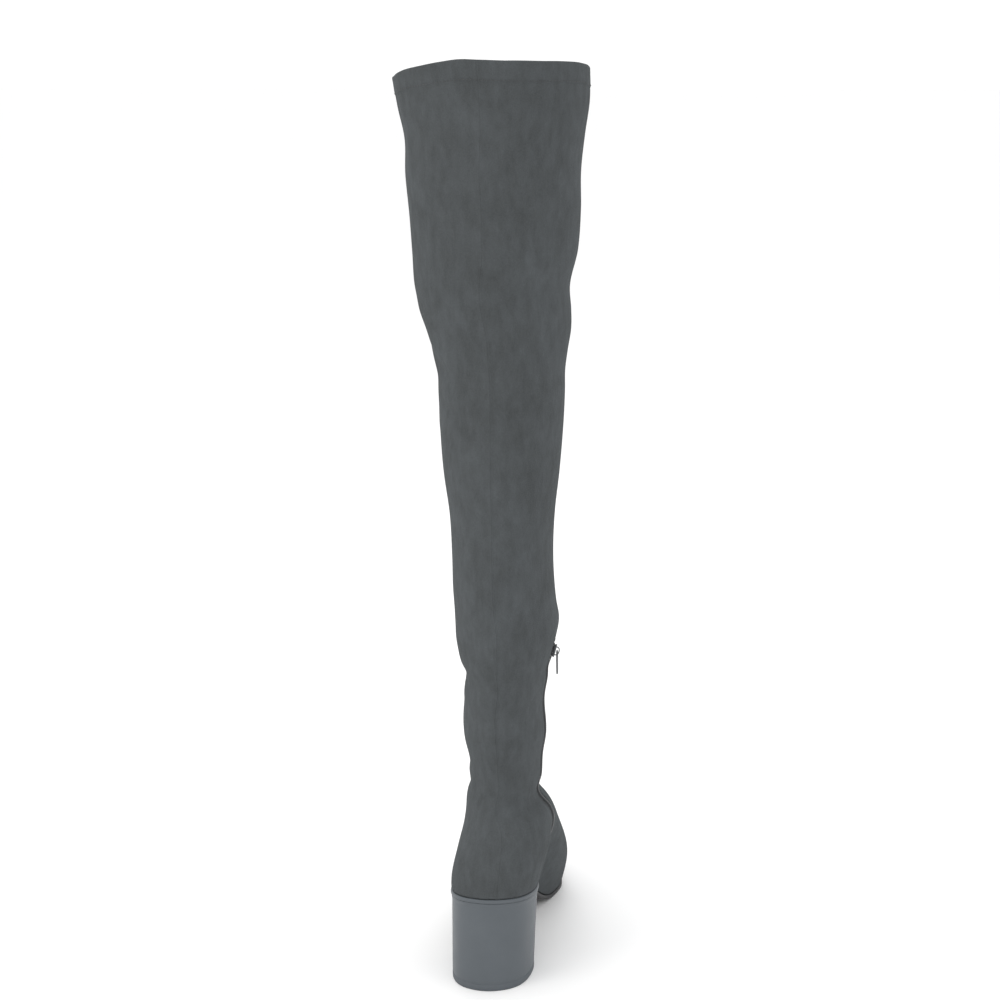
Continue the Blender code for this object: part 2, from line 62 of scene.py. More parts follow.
# Studio: a pale matt floor under soft, even light, a little stronger and warmer from the viewer's left.
FLOOR_SIZE = 50.0
FLOOR_COLOUR = (0.93, 0.93, 0.93)
SKY_COLOUR = (1.0, 1.0, 1.0)
SKY_STRENGTH = 1.08
LIGHTS = (
    # name, place, size, watts, colour
    ("key_left", (-1.9, -1.5, 1.7), 1.6, 17.0, (1.0, 0.985, 0.96)),
    ("fill_right", (2.0, -0.9, 1.0), 1.8, 3.0, (0.94, 0.97, 1.0)),
    ("top", (0.0, 0.3, 2.6), 1.8, 14.0, (1.0, 1.0, 1.0)),
)
LIGHT_AIM = (0.0, 0.03, 0.32)


def add_material(name):
    """New node material and its shader, ready for its colour, roughness and bump."""
    material = bpy.data.materials.new(name)
    material.use_nodes = True
    return material, material.node_tree.nodes["Principled BSDF"]


def add_node(material, kind, inputs=None, **settings):
    """One shader node with its settings; inputs are numbers, colours or the sockets that feed them."""
    node = material.node_tree.nodes.new(kind)
    for key, value in settings.items():
        setattr(node, key, value)
    for key, value in (inputs or {}).items():
        if isinstance(value, bpy.types.NodeSocket):
            material.node_tree.links.new(value, node.inputs[key])
        else:
            node.inputs[key].default_value = value
    return node


def feed(material, socket, shader_input):
    """Links a socket to an input of the shader."""
    material.node_tree.links.new(socket, shader_input)


floor_mesh = bpy.data.meshes.new("floor")
floor_mesh.from_pydata([(-FLOOR_SIZE, -FLOOR_SIZE, 0), (FLOOR_SIZE, -FLOOR_SIZE, 0),
                        (FLOOR_SIZE, FLOOR_SIZE, 0), (-FLOOR_SIZE, FLOOR_SIZE, 0)], [], [(0, 1, 2, 3)])
floor = bpy.data.objects.new("floor", floor_mesh)
bpy.context.scene.collection.objects.link(floor)
floor_material, floor_shader = add_material("floor_paper")
floor_shader.inputs["Base Color"].default_value = (*FLOOR_COLOUR, 1.0)
floor_shader.inputs["Roughness"].default_value = 0.9
floor_shader.inputs["Specular IOR Level"].default_value = 0.1
floor_mesh.materials.append(floor_material)

world = bpy.data.worlds.new("studio")
world.use_nodes = True
world.node_tree.nodes["Background"].inputs["Color"].default_value = (*SKY_COLOUR, 1.0)
world.node_tree.nodes["Background"].inputs["Strength"].default_value = SKY_STRENGTH
bpy.context.scene.world = world
bpy.context.scene.view_settings.view_transform = "Standard"

for light_name, light_place, light_size, watts, light_colour in LIGHTS:
    light_data = bpy.data.lights.new(light_name, "AREA")
    light_data.shape = "DISK"
    light_data.size = light_size
    light_data.energy = watts
    light_data.color = light_colour
    light = bpy.data.objects.new(light_name, light_data)
    light.location = light_place
    aim = np.array(LIGHT_AIM) - np.array(light_place)
    flat = math.hypot(aim[0], aim[1])
    light.rotation_euler = (math.atan2(flat, -aim[2]), 0.0, math.atan2(-aim[0], aim[1]))
    bpy.context.scene.collection.objects.link(light)


# Suede upper: foot and leg in one skin of charcoal stretch suede bonded to a knitted lining, closed by
# a back seam. Its lower edge is lasted under the insole, its hem is folded in and stitched down.
FOOT_LENGTH = 0.250
HEEL_BACK = 0.036
BALL_WIDTH = 0.076
SEAT_WIDTH = 0.0665
TOE_SPRING = 0.010
SOLE_THICKNESS = 0.0035
TREAD_START = 0.140
TREAD_LENGTH = 0.034
HEEL_HEIGHT = 0.074
HEEL_LENGTH = 0.060
SEAT_SLOPE = 0.15
ANKLE_HEIGHT = 0.058
SHAFT_LENGTH = 0.567
WALL = 0.0016
ANKLE_WIDTH = 0.0545
ANKLE_DEPTH = 0.090
CALF_WIDTH = 0.0785
CALF_DEPTH = 0.116
KNEE_WIDTH = 0.094
KNEE_DEPTH = 0.122
COLLAR_WIDTH = 0.1415
COLLAR_DEPTH = 0.142
LEG_FORWARD = 0.020
HEM_HEIGHT = 0.015
HEM_STEP = 0.0003
SEAM_WIDTH = 0.0030
SEAM_RISE = 0.00035
SEAM_ROOM = 0.008
SEAM_DRAW = 0.05
ZIP_WIDTH = 0.0110
ZIP_WINDOW = 0.0080
ZIP_TOP = 0.1335
ZIP_FOOT_SHARE = 0.42
ZIP_TURN = 0.25
GAP = 0.00012
EDGE_GAP = 0.0001
SLOT_ROUND = 0.0016
SLOT_SPREAD = 0.12
SLOT_ROOM = 0.006
EDGE_TUCK = 0.0004
TUCK_LEVEL = 0.03
RIM_LEVEL = 0.0015
DERIVATIVE_STEP = 0.002
LEG_RINGS = 240
FOOT_RINGS = 80
ZIP_FOOT_RINGS = 34
ZIP_FOOT_ROOM = 0.12
INNER_RINGS = 60
INNER_HEM_RINGS = 9
RIM_RINGS = 5
ZIP_STATIONS = 3000
GIRTH_COLUMNS = 168

# Bottom edge of the last: turn, share of the foot's length, distance from the centre line.
LAST_EDGE = (
    (0.000, 0.000, 0.000 * SEAT_WIDTH), (0.055, 0.022, 0.285 * SEAT_WIDTH),
    (0.115, 0.085, 0.466 * SEAT_WIDTH), (0.180, 0.200, 0.510 * SEAT_WIDTH),
    (0.250, 0.345, 0.290 * BALL_WIDTH), (0.310, 0.520, 0.300 * BALL_WIDTH),
    (0.360, 0.665, 0.405 * BALL_WIDTH), (0.405, 0.785, 0.480 * BALL_WIDTH),
    (0.440, 0.885, 0.400 * BALL_WIDTH), (0.472, 0.962, 0.240 * BALL_WIDTH),
    (0.503, 1.000, 0.045 * BALL_WIDTH), (0.535, 0.968, -0.150 * BALL_WIDTH),
    (0.568, 0.890, -0.310 * BALL_WIDTH), (0.606, 0.780, -0.425 * BALL_WIDTH),
    (0.650, 0.660, -0.490 * BALL_WIDTH), (0.700, 0.520, -0.490 * BALL_WIDTH),
    (0.755, 0.350, -0.430 * BALL_WIDTH), (0.820, 0.200, -0.486 * SEAT_WIDTH),
    (0.885, 0.085, -0.450 * SEAT_WIDTH), (0.945, 0.022, -0.285 * SEAT_WIDTH),
)

# Rise of the foot's side from that edge: turn, swell as a share of the ball's width, upright rise as a
# share of the ankle's height, fall from the ankle as a share of the foot's length.
LAST_RISE = (
    (0.000, 0.066, 0.414, 0.080), (0.100, 0.066, 0.414, 0.080), (0.180, 0.099, 0.448, 0.080),
    (0.250, 0.145, 0.483, 0.076), (0.310, 0.138, 0.466, 0.104), (0.360, 0.118, 0.448, 0.160),
    (0.420, 0.086, 0.483, 0.248), (0.465, 0.072, 0.534, 0.288), (0.503, 0.072, 0.569, 0.304),
    (0.540, 0.072, 0.534, 0.288), (0.590, 0.092, 0.448, 0.248), (0.650, 0.105, 0.362, 0.200),
    (0.700, 0.092, 0.345, 0.160), (0.760, 0.053, 0.440, 0.110), (0.830, 0.016, 0.520, 0.050),
    (0.900, 0.040, 0.480, 0.066),
)

# Sections of the leg: share of its length, width, depth, shift inwards as a share of this width,
# shift forwards as a share of this depth.
LEG_SECTIONS = (
    (0.000, 1.170 * ANKLE_WIDTH, 1.04 * ANKLE_DEPTH, 0.148, 0.000),
    (0.014, 1.030 * ANKLE_WIDTH, 1.00 * ANKLE_DEPTH, 0.110, 0.011),
    (0.043, 1.004 * ANKLE_WIDTH, 0.98 * ANKLE_DEPTH, 0.156, 0.017),
    (0.073, 1.035 * ANKLE_WIDTH, 1.00 * ANKLE_DEPTH, 0.154, 0.006),
    (0.102, 1.142 * ANKLE_WIDTH, 1.05 * ANKLE_DEPTH, 0.135, -0.005),
    (0.160, 1.121 * ANKLE_WIDTH, 1.12 * ANKLE_DEPTH, 0.137, -0.020),
    (0.187, 0.789 * CALF_WIDTH, 0.90 * CALF_DEPTH, 0.169, -0.024),
    (0.201, 0.794 * CALF_WIDTH, 0.92 * CALF_DEPTH, 0.174, -0.028),
    (0.217, 0.883 * CALF_WIDTH, 0.94 * CALF_DEPTH, 0.149, -0.032),
    (0.231, 0.929 * CALF_WIDTH, 0.955 * CALF_DEPTH, 0.143, -0.034),
    (0.246, 0.971 * CALF_WIDTH, 0.97 * CALF_DEPTH, 0.142, -0.036),
    (0.266, 0.999 * CALF_WIDTH, 0.98 * CALF_DEPTH, 0.147, -0.037),
    (0.287, 0.980 * CALF_WIDTH, 0.985 * CALF_DEPTH, 0.135, -0.037),
    (0.313, 0.972 * CALF_WIDTH, 0.99 * CALF_DEPTH, 0.121, -0.036),
    (0.360, 0.964 * CALF_WIDTH, 1.00 * CALF_DEPTH, 0.113, -0.034),
    (0.415, 1.000 * CALF_WIDTH, 1.00 * CALF_DEPTH, 0.108, -0.022),
    (0.470, 0.917 * KNEE_WIDTH, 0.98 * KNEE_DEPTH, 0.094, -0.008),
    (0.576, 0.997 * KNEE_WIDTH, 1.00 * KNEE_DEPTH, 0.087, 0.025),
    (0.604, 1.004 * KNEE_WIDTH, 1.01 * KNEE_DEPTH, 0.085, 0.028),
    (0.630, 1.062 * KNEE_WIDTH, 1.02 * KNEE_DEPTH, 0.072, 0.032),
    (0.657, 1.124 * KNEE_WIDTH, 1.04 * KNEE_DEPTH, 0.064, 0.032),
    (0.684, 1.185 * KNEE_WIDTH, 1.06 * KNEE_DEPTH, 0.036, 0.031),
    (0.711, 0.801 * COLLAR_WIDTH, 0.92 * COLLAR_DEPTH, 0.018, 0.031),
    (0.762, 0.857 * COLLAR_WIDTH, 0.93 * COLLAR_DEPTH, 0.035, 0.027),
    (0.813, 0.883 * COLLAR_WIDTH, 0.94 * COLLAR_DEPTH, 0.037, 0.022),
    (0.865, 0.901 * COLLAR_WIDTH, 0.955 * COLLAR_DEPTH, 0.028, 0.018),
    (0.914, 0.922 * COLLAR_WIDTH, 0.97 * COLLAR_DEPTH, 0.039, 0.015),
    (0.958, 0.978 * COLLAR_WIDTH, 0.99 * COLLAR_DEPTH, 0.033, 0.011),
    (1.000, 1.000 * COLLAR_WIDTH, 1.00 * COLLAR_DEPTH, 0.021, 0.007),
)

# Dip of the collar's edge below its highest point, as a share of the hem's height: turn, dip.
COLLAR_DIP = (
    (0.00, 0.03), (0.07, 0.09), (0.15, 0.10), (0.20, 0.17), (0.25, 0.40), (0.31, 0.22), (0.37, 0.12),
    (0.43, 0.08), (0.50, 0.06), (0.56, 0.14), (0.60, 0.34), (0.68, 0.74), (0.75, 0.86), (0.81, 0.76),
    (0.86, 0.48), (0.90, 0.31), (0.94, 0.13), (0.975, 0.01),
)

# Way of the back seam, which leaves the heel a little to the inner side and straightens up: level, turn.
SEAM_LINE = ((0.0, 0.024), (0.3, 0.019), (0.6, 0.009), (0.85, 0.002), (1.0, 0.0), (1.3, 0.0), (2.0, 0.0))

# Creases of the leg: turn and height of the middle, half its length as a turn, climb over that half
# length, bow of its ends, width, and depth, which is below nought for a trough.
CREASES = (
    # behind the knee, from the outer side down towards the back seam
    (0.86, 0.498, 0.12, -0.016, 0.006, 0.0080, 0.0012),
    (0.87, 0.482, 0.13, -0.020, 0.006, 0.0070, -0.0016),
    (0.88, 0.466, 0.12, -0.022, 0.005, 0.0062, 0.0013),
    (0.90, 0.450, 0.12, -0.018, 0.004, 0.0060, -0.0012),
    (0.85, 0.432, 0.10, -0.014, 0.004, 0.0065, 0.0009),
    (0.84, 0.526, 0.10, -0.010, 0.006, 0.0080, -0.0008),
    (0.10, 0.540, 0.11, 0.014, -0.004, 0.0085, -0.0012),
    (0.13, 0.520, 0.12, 0.016, -0.004, 0.0075, 0.0011),
    (0.12, 0.496, 0.10, 0.012, -0.003, 0.0070, -0.0010),
    (0.15, 0.478, 0.10, 0.008, -0.003, 0.0070, 0.0007),
    # front of the knee, long and shallow
    (0.52, 0.520, 0.20, 0.004, 0.010, 0.0100, -0.0007),
    (0.47, 0.488, 0.18, -0.006, 0.009, 0.0090, 0.0006),
    # above the ankle, where the leg has settled
    (0.82, 0.232, 0.15, -0.010, 0.004, 0.0060, 0.0009),
    (0.90, 0.214, 0.16, -0.008, 0.003, 0.0060, -0.0010),
    (0.10, 0.196, 0.15, 0.006, 0.002, 0.0055, 0.0008),
    (0.52, 0.236, 0.20, 0.004, -0.006, 0.0065, -0.0012),
    (0.50, 0.221, 0.21, -0.003, -0.006, 0.0060, 0.0011),
    (0.47, 0.205, 0.19, 0.005, -0.007, 0.0060, -0.0013),
    (0.53, 0.190, 0.19, -0.004, -0.006, 0.0055, 0.0012),
    # at the ankle's bend
    (0.76, 0.166, 0.14, -0.003, 0.002, 0.0055, 0.0016),
    (0.80, 0.153, 0.20, -0.002, 0.002, 0.0040, -0.0011),
    (0.03, 0.176, 0.17, 0.003, 0.002, 0.0055, -0.0007),
    (0.50, 0.172, 0.19, 0.003, -0.007, 0.0055, -0.0016),
    (0.49, 0.158, 0.18, -0.003, -0.008, 0.0050, 0.0014),
    (0.51, 0.144, 0.17, 0.003, -0.008, 0.0050, -0.0015),
    (0.50, 0.130, 0.14, -0.003, -0.008, 0.0050, 0.0010),
)

# Long upright drapes of the leg: turn, lowest and highest point, half width as a turn, depth.
DRAPES = (
    (0.80, 0.600, 0.715, 0.020, -0.0009),
    (0.835, 0.560, 0.715, 0.022, 0.0007),
    (0.92, 0.380, 0.620, 0.030, -0.0006),
    (0.14, 0.560, 0.715, 0.028, -0.0006),
    (0.36, 0.300, 0.640, 0.035, -0.0006),
    (0.64, 0.320, 0.620, 0.035, 0.0006),
    (0.70, 0.250, 0.470, 0.025, -0.0006),
)


def smooth(table, column, at, period=None):
    """Cubic through one column of a table whose rows start with their key, with finite-difference slopes."""
    keys = np.array([row[0] for row in table])
    values = np.array([row[column] for row in table])
    at = np.asarray(at, dtype=float)
    if period:
        at = np.mod(at, period)
        keys = np.concatenate((keys[-2:] - period, keys, keys[:3] + period))
        values = np.concatenate((values[-2:], values, values[:3]))
    slopes = np.gradient(values, keys)
    cell = np.clip(np.searchsorted(keys, at, side="right") - 1, 0, len(keys) - 2)
    width = keys[cell + 1] - keys[cell]
    t = (at - keys[cell]) / width
    start = values[cell] * (1 + 2 * t) * (1 - t) ** 2 + slopes[cell] * width * t * (1 - t) ** 2
    end = values[cell + 1] * t ** 2 * (3 - 2 * t) - slopes[cell + 1] * width * t ** 2 * (1 - t)
    return start + end


def sole_height(y):
    """Underside of the sole: a sloped seat, an S-shaped waist, a flat tread, a toe sprung by a square law."""
    y = np.asarray(y, dtype=float)
    breast = HEEL_LENGTH - HEEL_BACK
    seat = HEEL_HEIGHT - SEAT_SLOPE * (y + HEEL_BACK)
    seat_end = HEEL_HEIGHT - SEAT_SLOPE * HEEL_LENGTH
    span = TREAD_START - breast
    t = np.clip((y - breast) / span, 0, 1)
    waist = seat_end * (1 + 2 * t) * (1 - t) ** 2 - SEAT_SLOPE * span * t * (1 - t) ** 2
    tread_end = TREAD_START + TREAD_LENGTH
    lift = np.clip((y - tread_end) / (FOOT_LENGTH - HEEL_BACK - tread_end), 0, None)
    return np.where(y < breast, seat, waist + TOE_SPRING * lift ** 2)


def sole_stretch(y):
    """Ratio of a height to the thickness square to the sole, the root of one plus its slope squared."""
    step = 0.0005
    slope = (sole_height(y + step) - sole_height(y - step)) / (2 * step)
    return np.sqrt(1 + slope ** 2)


def sole_top(y, above=0.0):
    """Height of the outsole's upper face, and of what lies at a distance above it."""
    return sole_height(y) + (SOLE_THICKNESS + above) * sole_stretch(y)


def last_edge(turn, inset=0.0):
    """Point of the last's bottom edge at a turn, moved inwards in plan by the inset, square to the edge."""
    def plan(at):
        return smooth(LAST_EDGE, 2, at, 1.0), smooth(LAST_EDGE, 1, at, 1.0) * FOOT_LENGTH - HEEL_BACK
    x, y = plan(turn)
    ahead, behind = plan(turn + DERIVATIVE_STEP), plan(turn - DERIVATIVE_STEP)
    along = np.array((ahead[0] - behind[0], ahead[1] - behind[1]))
    along = along / np.linalg.norm(along, axis=0)
    return x - inset * along[1], y + inset * along[0]


def leg_point(share, turn):
    """Leg: an oval at each share of the shaft, as sine and cosine of the turn, its hem lifted by a step."""
    width = smooth(LEG_SECTIONS, 1, share)
    depth = smooth(LEG_SECTIONS, 2, share)
    inner = smooth(LEG_SECTIONS, 3, share) * width
    forward = smooth(LEG_SECTIONS, 4, share) * depth
    angle = 2 * math.pi * turn
    hem = HEM_STEP * np.clip((share - 1) * SHAFT_LENGTH / HEM_STEP + HEM_HEIGHT / HEM_STEP, 0, 1)
    x = inner + (width / 2 + hem) * np.sin(angle)
    y = LEG_FORWARD + forward - (depth / 2 + hem) * np.cos(angle)
    dip = smooth(COLLAR_DIP, 1, turn, 1.0) * HEM_HEIGHT
    z = HEEL_HEIGHT + SOLE_THICKNESS + ANKLE_HEIGHT + share * (SHAFT_LENGTH - dip * share ** 6)
    return np.stack(np.broadcast_arrays(x, y, z), axis=-1)


def foot_point(share, turn):
    """Foot: a cubic Bezier arc from the last's edge, out and up the side, then over to the ankle's ring."""
    x, y = last_edge(turn)
    edge = np.stack((x, y, sole_top(y, EDGE_GAP)), axis=-1)
    out_x, out_y = last_edge(turn, -1.0)
    swell = smooth(LAST_RISE, 1, turn, 1.0) * BALL_WIDTH
    rise = smooth(LAST_RISE, 2, turn, 1.0) * ANKLE_HEIGHT
    fall = smooth(LAST_RISE, 3, turn, 1.0) * FOOT_LENGTH
    side = edge + np.stack(((out_x - x) * swell, (out_y - y) * swell, rise), axis=-1)
    ankle = leg_point(np.zeros_like(turn), turn)
    up = leg_point(np.full_like(turn, LEG_SECTIONS[1][0]), turn) - ankle
    up = up / np.linalg.norm(up, axis=-1, keepdims=True)
    over = ankle - up * fall[..., None]
    t = np.asarray(share)[..., None]
    return edge * (1 - t) ** 3 + 3 * side * t * (1 - t) ** 2 + 3 * over * t ** 2 * (1 - t) + ankle * t ** 3


def boot_point(level, turn):
    """Whole skin: the foot's arc for levels from 0 to 1, and the leg for levels from 1 to 2."""
    level, turn = np.broadcast_arrays(np.asarray(level, dtype=float), np.asarray(turn, dtype=float))
    foot = foot_point(np.clip(level, 0, 1), turn)
    leg = leg_point(np.clip(level - 1, 0, 1), turn)
    return np.where((level < 1)[..., None], foot, leg)


def boot_normal(level, turn):
    """Outward direction of the skin: the cross product of its steps along the turn and along the level."""
    step = DERIVATIVE_STEP
    along = boot_point(level, turn + step) - boot_point(level, turn - step)
    up = boot_point(np.clip(level + step, 0, 2), turn) - boot_point(np.clip(level - step, 0, 2), turn)
    normal = np.cross(along, up)
    return normal / np.linalg.norm(normal, axis=-1, keepdims=True)


def turn_from(turn, middle):
    """Shortest way round from the middle turn, between minus a half and a half."""
    return np.mod(turn - middle + 0.5, 1.0) - 0.5


def relief(points, level, turn):
    """Height of folds over the skin: each crease is a bell across its line, faded by a cosine to its ends."""
    height = points[..., 2]
    total = np.zeros_like(height)
    for middle, at, half, climb, bow, width, depth in CREASES:
        along = turn_from(turn, middle) / half
        line = at + climb * along + bow * along ** 2
        across = (height - line) / width
        fade = np.where(np.abs(along) < 1, np.cos(along.clip(-1, 1) * math.pi / 2) ** 2, 0)
        total += depth * fade * (np.exp(-across ** 2) - 0.35 * np.exp(-(across / 2.2) ** 2))
    for middle, low, high, half, depth in DRAPES:
        across = turn_from(turn, middle) / half
        along = np.clip((height - low) / (high - low), 0, 1)
        total += depth * np.exp(-across ** 2) * np.sin(along * math.pi) ** 0.7
    radius = np.linalg.norm(points[..., :2] - (0, LEG_FORWARD), axis=-1)
    seam = turn_from(turn, smooth(SEAM_LINE, 1, level)) * 2 * math.pi * radius
    total += SEAM_RISE * np.exp(-(seam / (SEAM_WIDTH / 2)) ** 4)
    total -= SEAM_RISE * 0.8 * np.exp(-(seam / (SEAM_WIDTH / 8)) ** 2)
    return total


def skin(level, turn, depth=0.0):
    """Skin with its folds, at a depth below the outer face."""
    points = boot_point(level, turn)
    lift = relief(points, level, turn) - depth
    return points + boot_normal(level, turn) * lift[..., None]


def zip_steps(level):
    """Steps in turn and level per metre square to the zip's line, from both derivatives of the skin there.

    The step in turn is one over the part of its derivative square to the line; the level makes up the rest.
    """
    step = 2 * DERIVATIVE_STEP
    across = (boot_point(level, ZIP_TURN + step) - boot_point(level, ZIP_TURN - step)) / (2 * step)
    along = (boot_point(level + step, ZIP_TURN) - boot_point(level - step, ZIP_TURN)) / (2 * step)
    lean = (across * along).sum(axis=-1) / (along * along).sum(axis=-1)
    square = across - along * lean[..., None]
    turn_step = 1 / np.linalg.norm(square, axis=-1)
    return turn_step, -turn_step * lean


def add_mesh(name, points, faces, materials, face_material=None, uv=None):
    """Smooth mesh object from an array of points and one of quads; points that no quad uses are left out."""
    used, faces = np.unique(faces, return_inverse=True)
    faces = faces.reshape(-1, 4)
    mesh = bpy.data.meshes.new(name)
    mesh.vertices.add(len(used))
    mesh.vertices.foreach_set("co", points.reshape(-1, 3)[used].astype(np.float32).ravel())
    mesh.loops.add(faces.size)
    mesh.loops.foreach_set("vertex_index", faces.astype(np.int32).ravel())
    mesh.polygons.add(len(faces))
    mesh.polygons.foreach_set("loop_start", np.arange(0, faces.size, 4, dtype=np.int32))
    for material in materials:
        mesh.materials.append(material)
    if face_material is not None:
        mesh.polygons.foreach_set("material_index", face_material.astype(np.int32))
    if uv is not None:
        layer = mesh.uv_layers.new(name="surface")
        layer.data.foreach_set("uv", uv.reshape(-1, 2)[used][faces].astype(np.float32).ravel())
    mesh.update(calc_edges=True)
    mesh.validate()
    mesh.shade_smooth()
    piece = bpy.data.objects.new(name, mesh)
    bpy.context.scene.collection.objects.link(piece)
    return piece


def grid_quads(index):
    """Quads between neighbouring rows and columns of an array of point numbers."""
    corners = (index[:-1, :-1], index[:-1, 1:], index[1:, 1:], index[1:, :-1])
    return np.stack(corners, axis=-1).reshape(-1, 4)


def run_length(points):
    """Distance along a line of points, starting at nought."""
    return np.concatenate(([0.0], np.cumsum(np.linalg.norm(np.diff(points, axis=0), axis=-1))))


zip_top_level = 1 + ZIP_TOP / SHAFT_LENGTH
hem_level = 2 - HEM_HEIGHT / SHAFT_LENGTH
zip_levels = np.linspace(ZIP_FOOT_SHARE, zip_top_level, ZIP_STATIONS)
zip_line = boot_point(zip_levels, ZIP_TURN)
zip_run = run_length(zip_line)
zip_turn_step, zip_level_step = zip_steps(zip_levels)
seam_column = 1 - ZIP_TURN
seam_columns = seam_column + np.array((-65, -45, -30, -18, -8, 0, 8, 18, 30, 45, 65)) / 10000
columns = np.arange(GIRTH_COLUMNS + 1) / GIRTH_COLUMNS
columns = np.sort(np.concatenate((columns[np.abs(columns - seam_column) > SEAM_ROOM], seam_columns)))


def slot_opening(levels, side):
    """Turn between the zip's line and one edge of its window, its ends rounded off by a square root."""
    ends = np.clip(zip_run / SLOT_ROUND, 0, 1) * np.clip((zip_run[-1] - zip_run) / SLOT_ROUND, 0, 1)
    edge = side * ZIP_WINDOW / 2 * np.sqrt(ends)
    edge_levels = zip_levels + zip_level_step * edge
    return np.interp(levels, edge_levels, np.abs(zip_turn_step * edge), left=0, right=0)


def ring_turns(levels):
    """Turns of each ring's points: even, but squeezed away from the zip's window and drawn along the seam."""
    front = np.clip(1 - columns / SLOT_SPREAD, 0, 1) * slot_opening(levels, 1)[:, None]
    back = np.clip(1 - (1 - columns) / SLOT_SPREAD, 0, 1) * slot_opening(levels, -1)[:, None]
    drawn = np.exp(-((columns - seam_column) / SEAM_DRAW) ** 2) * smooth(SEAM_LINE, 1, levels)[:, None]
    return ZIP_TURN + columns + front - back + drawn


# Rings go up the outer face, over the rim and down the lining, close together at the slot's ends and the
# hem. Each is closed, but where it meets the window, whose two edges are joined from face to lining.
slot_ends = np.linspace(-1.5, 1.5, 13) * SLOT_ROUND
foot_levels = np.linspace(0, 1, FOOT_RINGS, endpoint=False) ** 0.9
foot_near = np.linspace(ZIP_FOOT_SHARE - 0.10, ZIP_FOOT_SHARE + 0.12, ZIP_FOOT_RINGS)
foot_far = np.abs(foot_levels - ZIP_FOOT_SHARE - 0.01) > ZIP_FOOT_ROOM
foot_levels = np.sort(np.concatenate((foot_levels[foot_far], foot_near)))
leg_levels = np.linspace(1, hem_level - 0.001, LEG_RINGS)
leg_far = np.abs(leg_levels - zip_top_level) > SLOT_ROOM
leg_levels = np.sort(np.concatenate((leg_levels[leg_far], zip_top_level + slot_ends / SHAFT_LENGTH)))
outer_levels = np.concatenate((
    foot_levels, leg_levels,
    hem_level + np.array((0.0, 0.0005, 0.001, 0.002, 0.005)),
    np.linspace(hem_level + 0.009, 2 - RIM_LEVEL, 6),
))
open_rows = np.nonzero(slot_opening(outer_levels, 1) + slot_opening(outer_levels, -1) > 0)[0]
slot_rows = np.arange(open_rows[0] - 1, open_rows[-1] + 2)
slot_levels = outer_levels[slot_rows]
inner_levels = np.concatenate((
    np.linspace(2 - RIM_LEVEL, hem_level - 0.004, INNER_HEM_RINGS),
    np.linspace(hem_level - 0.006, slot_levels[-1] + 0.01, INNER_RINGS),
    slot_levels[::-1],
    np.linspace(slot_levels[0] - 0.03, 0.02, 10),
))

outer_turns = ring_turns(outer_levels)
outer = skin(outer_levels[:, None], outer_turns)
tuck = np.clip(1 - outer_levels[:, None] / TUCK_LEVEL, 0, 1) ** 2 * EDGE_TUCK
outer -= boot_normal(outer_levels[:, None], outer_turns) * tuck[..., None]
inner = skin(inner_levels[:, None], ring_turns(inner_levels), WALL)
fold = np.linspace(0, math.pi, RIM_RINGS + 2)[1:-1][:, None, None]
rim_out, rim_in = outer[-1], inner[0]
rim_up = boot_point(2.0, columns + ZIP_TURN) - boot_point(1.99, columns + ZIP_TURN)
rim_up = rim_up / np.linalg.norm(rim_up, axis=-1, keepdims=True)
rim = (rim_out + rim_in) / 2 + (rim_out - rim_in) / 2 * np.cos(fold) + rim_up * WALL / 2 * np.sin(fold)
rings = np.concatenate((outer, rim, inner))
index = np.arange(rings.shape[0] * rings.shape[1]).reshape(rings.shape[:2])
levels_all = np.concatenate((outer_levels, np.full(len(rim), 2.0), inner_levels))
closed = slot_opening(levels_all, 1) + slot_opening(levels_all, -1) <= 0
index[closed, -1] = index[closed, 0]
outer_edge = index[slot_rows]
inner_edge = index[len(outer) + len(rim) + INNER_HEM_RINGS + INNER_RINGS:][:len(slot_rows)][::-1]
skin_quads = grid_quads(np.concatenate((index, index[:1])))
front_edge = grid_quads(np.stack((inner_edge[:, 0], outer_edge[:, 0]), axis=1))
back_edge = grid_quads(np.stack((outer_edge[:, -1], inner_edge[:, -1]), axis=1))
lining_rows = np.arange(len(rings)) >= len(outer) + len(rim) + INNER_HEM_RINGS
slot_faces = np.zeros(2 * len(slot_rows) - 2, bool)
lining_faces = np.concatenate((np.repeat(lining_rows, len(columns) - 1), slot_faces))
girth = np.linalg.norm(np.diff(rings, axis=1), axis=-1)
girth = np.concatenate((np.zeros((len(rings), 1)), np.cumsum(girth, axis=1)), axis=1)
climb = run_length(rings[:, len(columns) // 2])
surface_uv = np.stack(np.broadcast_arrays(girth, climb[:, None]), axis=-1)


def own_place(material):
    """Place on the piece in metres, which every pattern without its own measures starts from."""
    return add_node(material, "ShaderNodeTexCoord").outputs["Object"]


def noise(material, place, scale, detail=2.0, roughness=0.5, distortion=0.0):
    """Cloudy noise between nought and one, its scale in waves to the metre."""
    inputs = {"Vector": place, "Scale": scale, "Detail": detail, "Roughness": roughness}
    return add_node(material, "ShaderNodeTexNoise", {**inputs, "Distortion": distortion}).outputs[0]


def math_of(material, operation, first, second=0.5):
    """One sum, product or other operation on one or two values."""
    return add_node(material, "ShaderNodeMath", {0: first, 1: second}, operation=operation).outputs[0]


def two_tones(material, shader, share, dark, light):
    """Colours the shader between a dark and a light tone by a share."""
    tones = add_node(material, "ShaderNodeMix", {"Factor": share, "A": (*dark, 1), "B": (*light, 1)},
                     data_type="RGBA")
    feed(material, tones.outputs["Result"], shader.inputs["Base Color"])


def raise_bump(material, shader, height, distance, strength):
    """Bump of the shader from a height, over a distance in metres."""
    bump = add_node(material, "ShaderNodeBump", {"Height": height, "Distance": distance,
                                                 "Strength": strength})
    feed(material, bump.outputs[0], shader.inputs["Normal"])
    return bump.outputs[0]


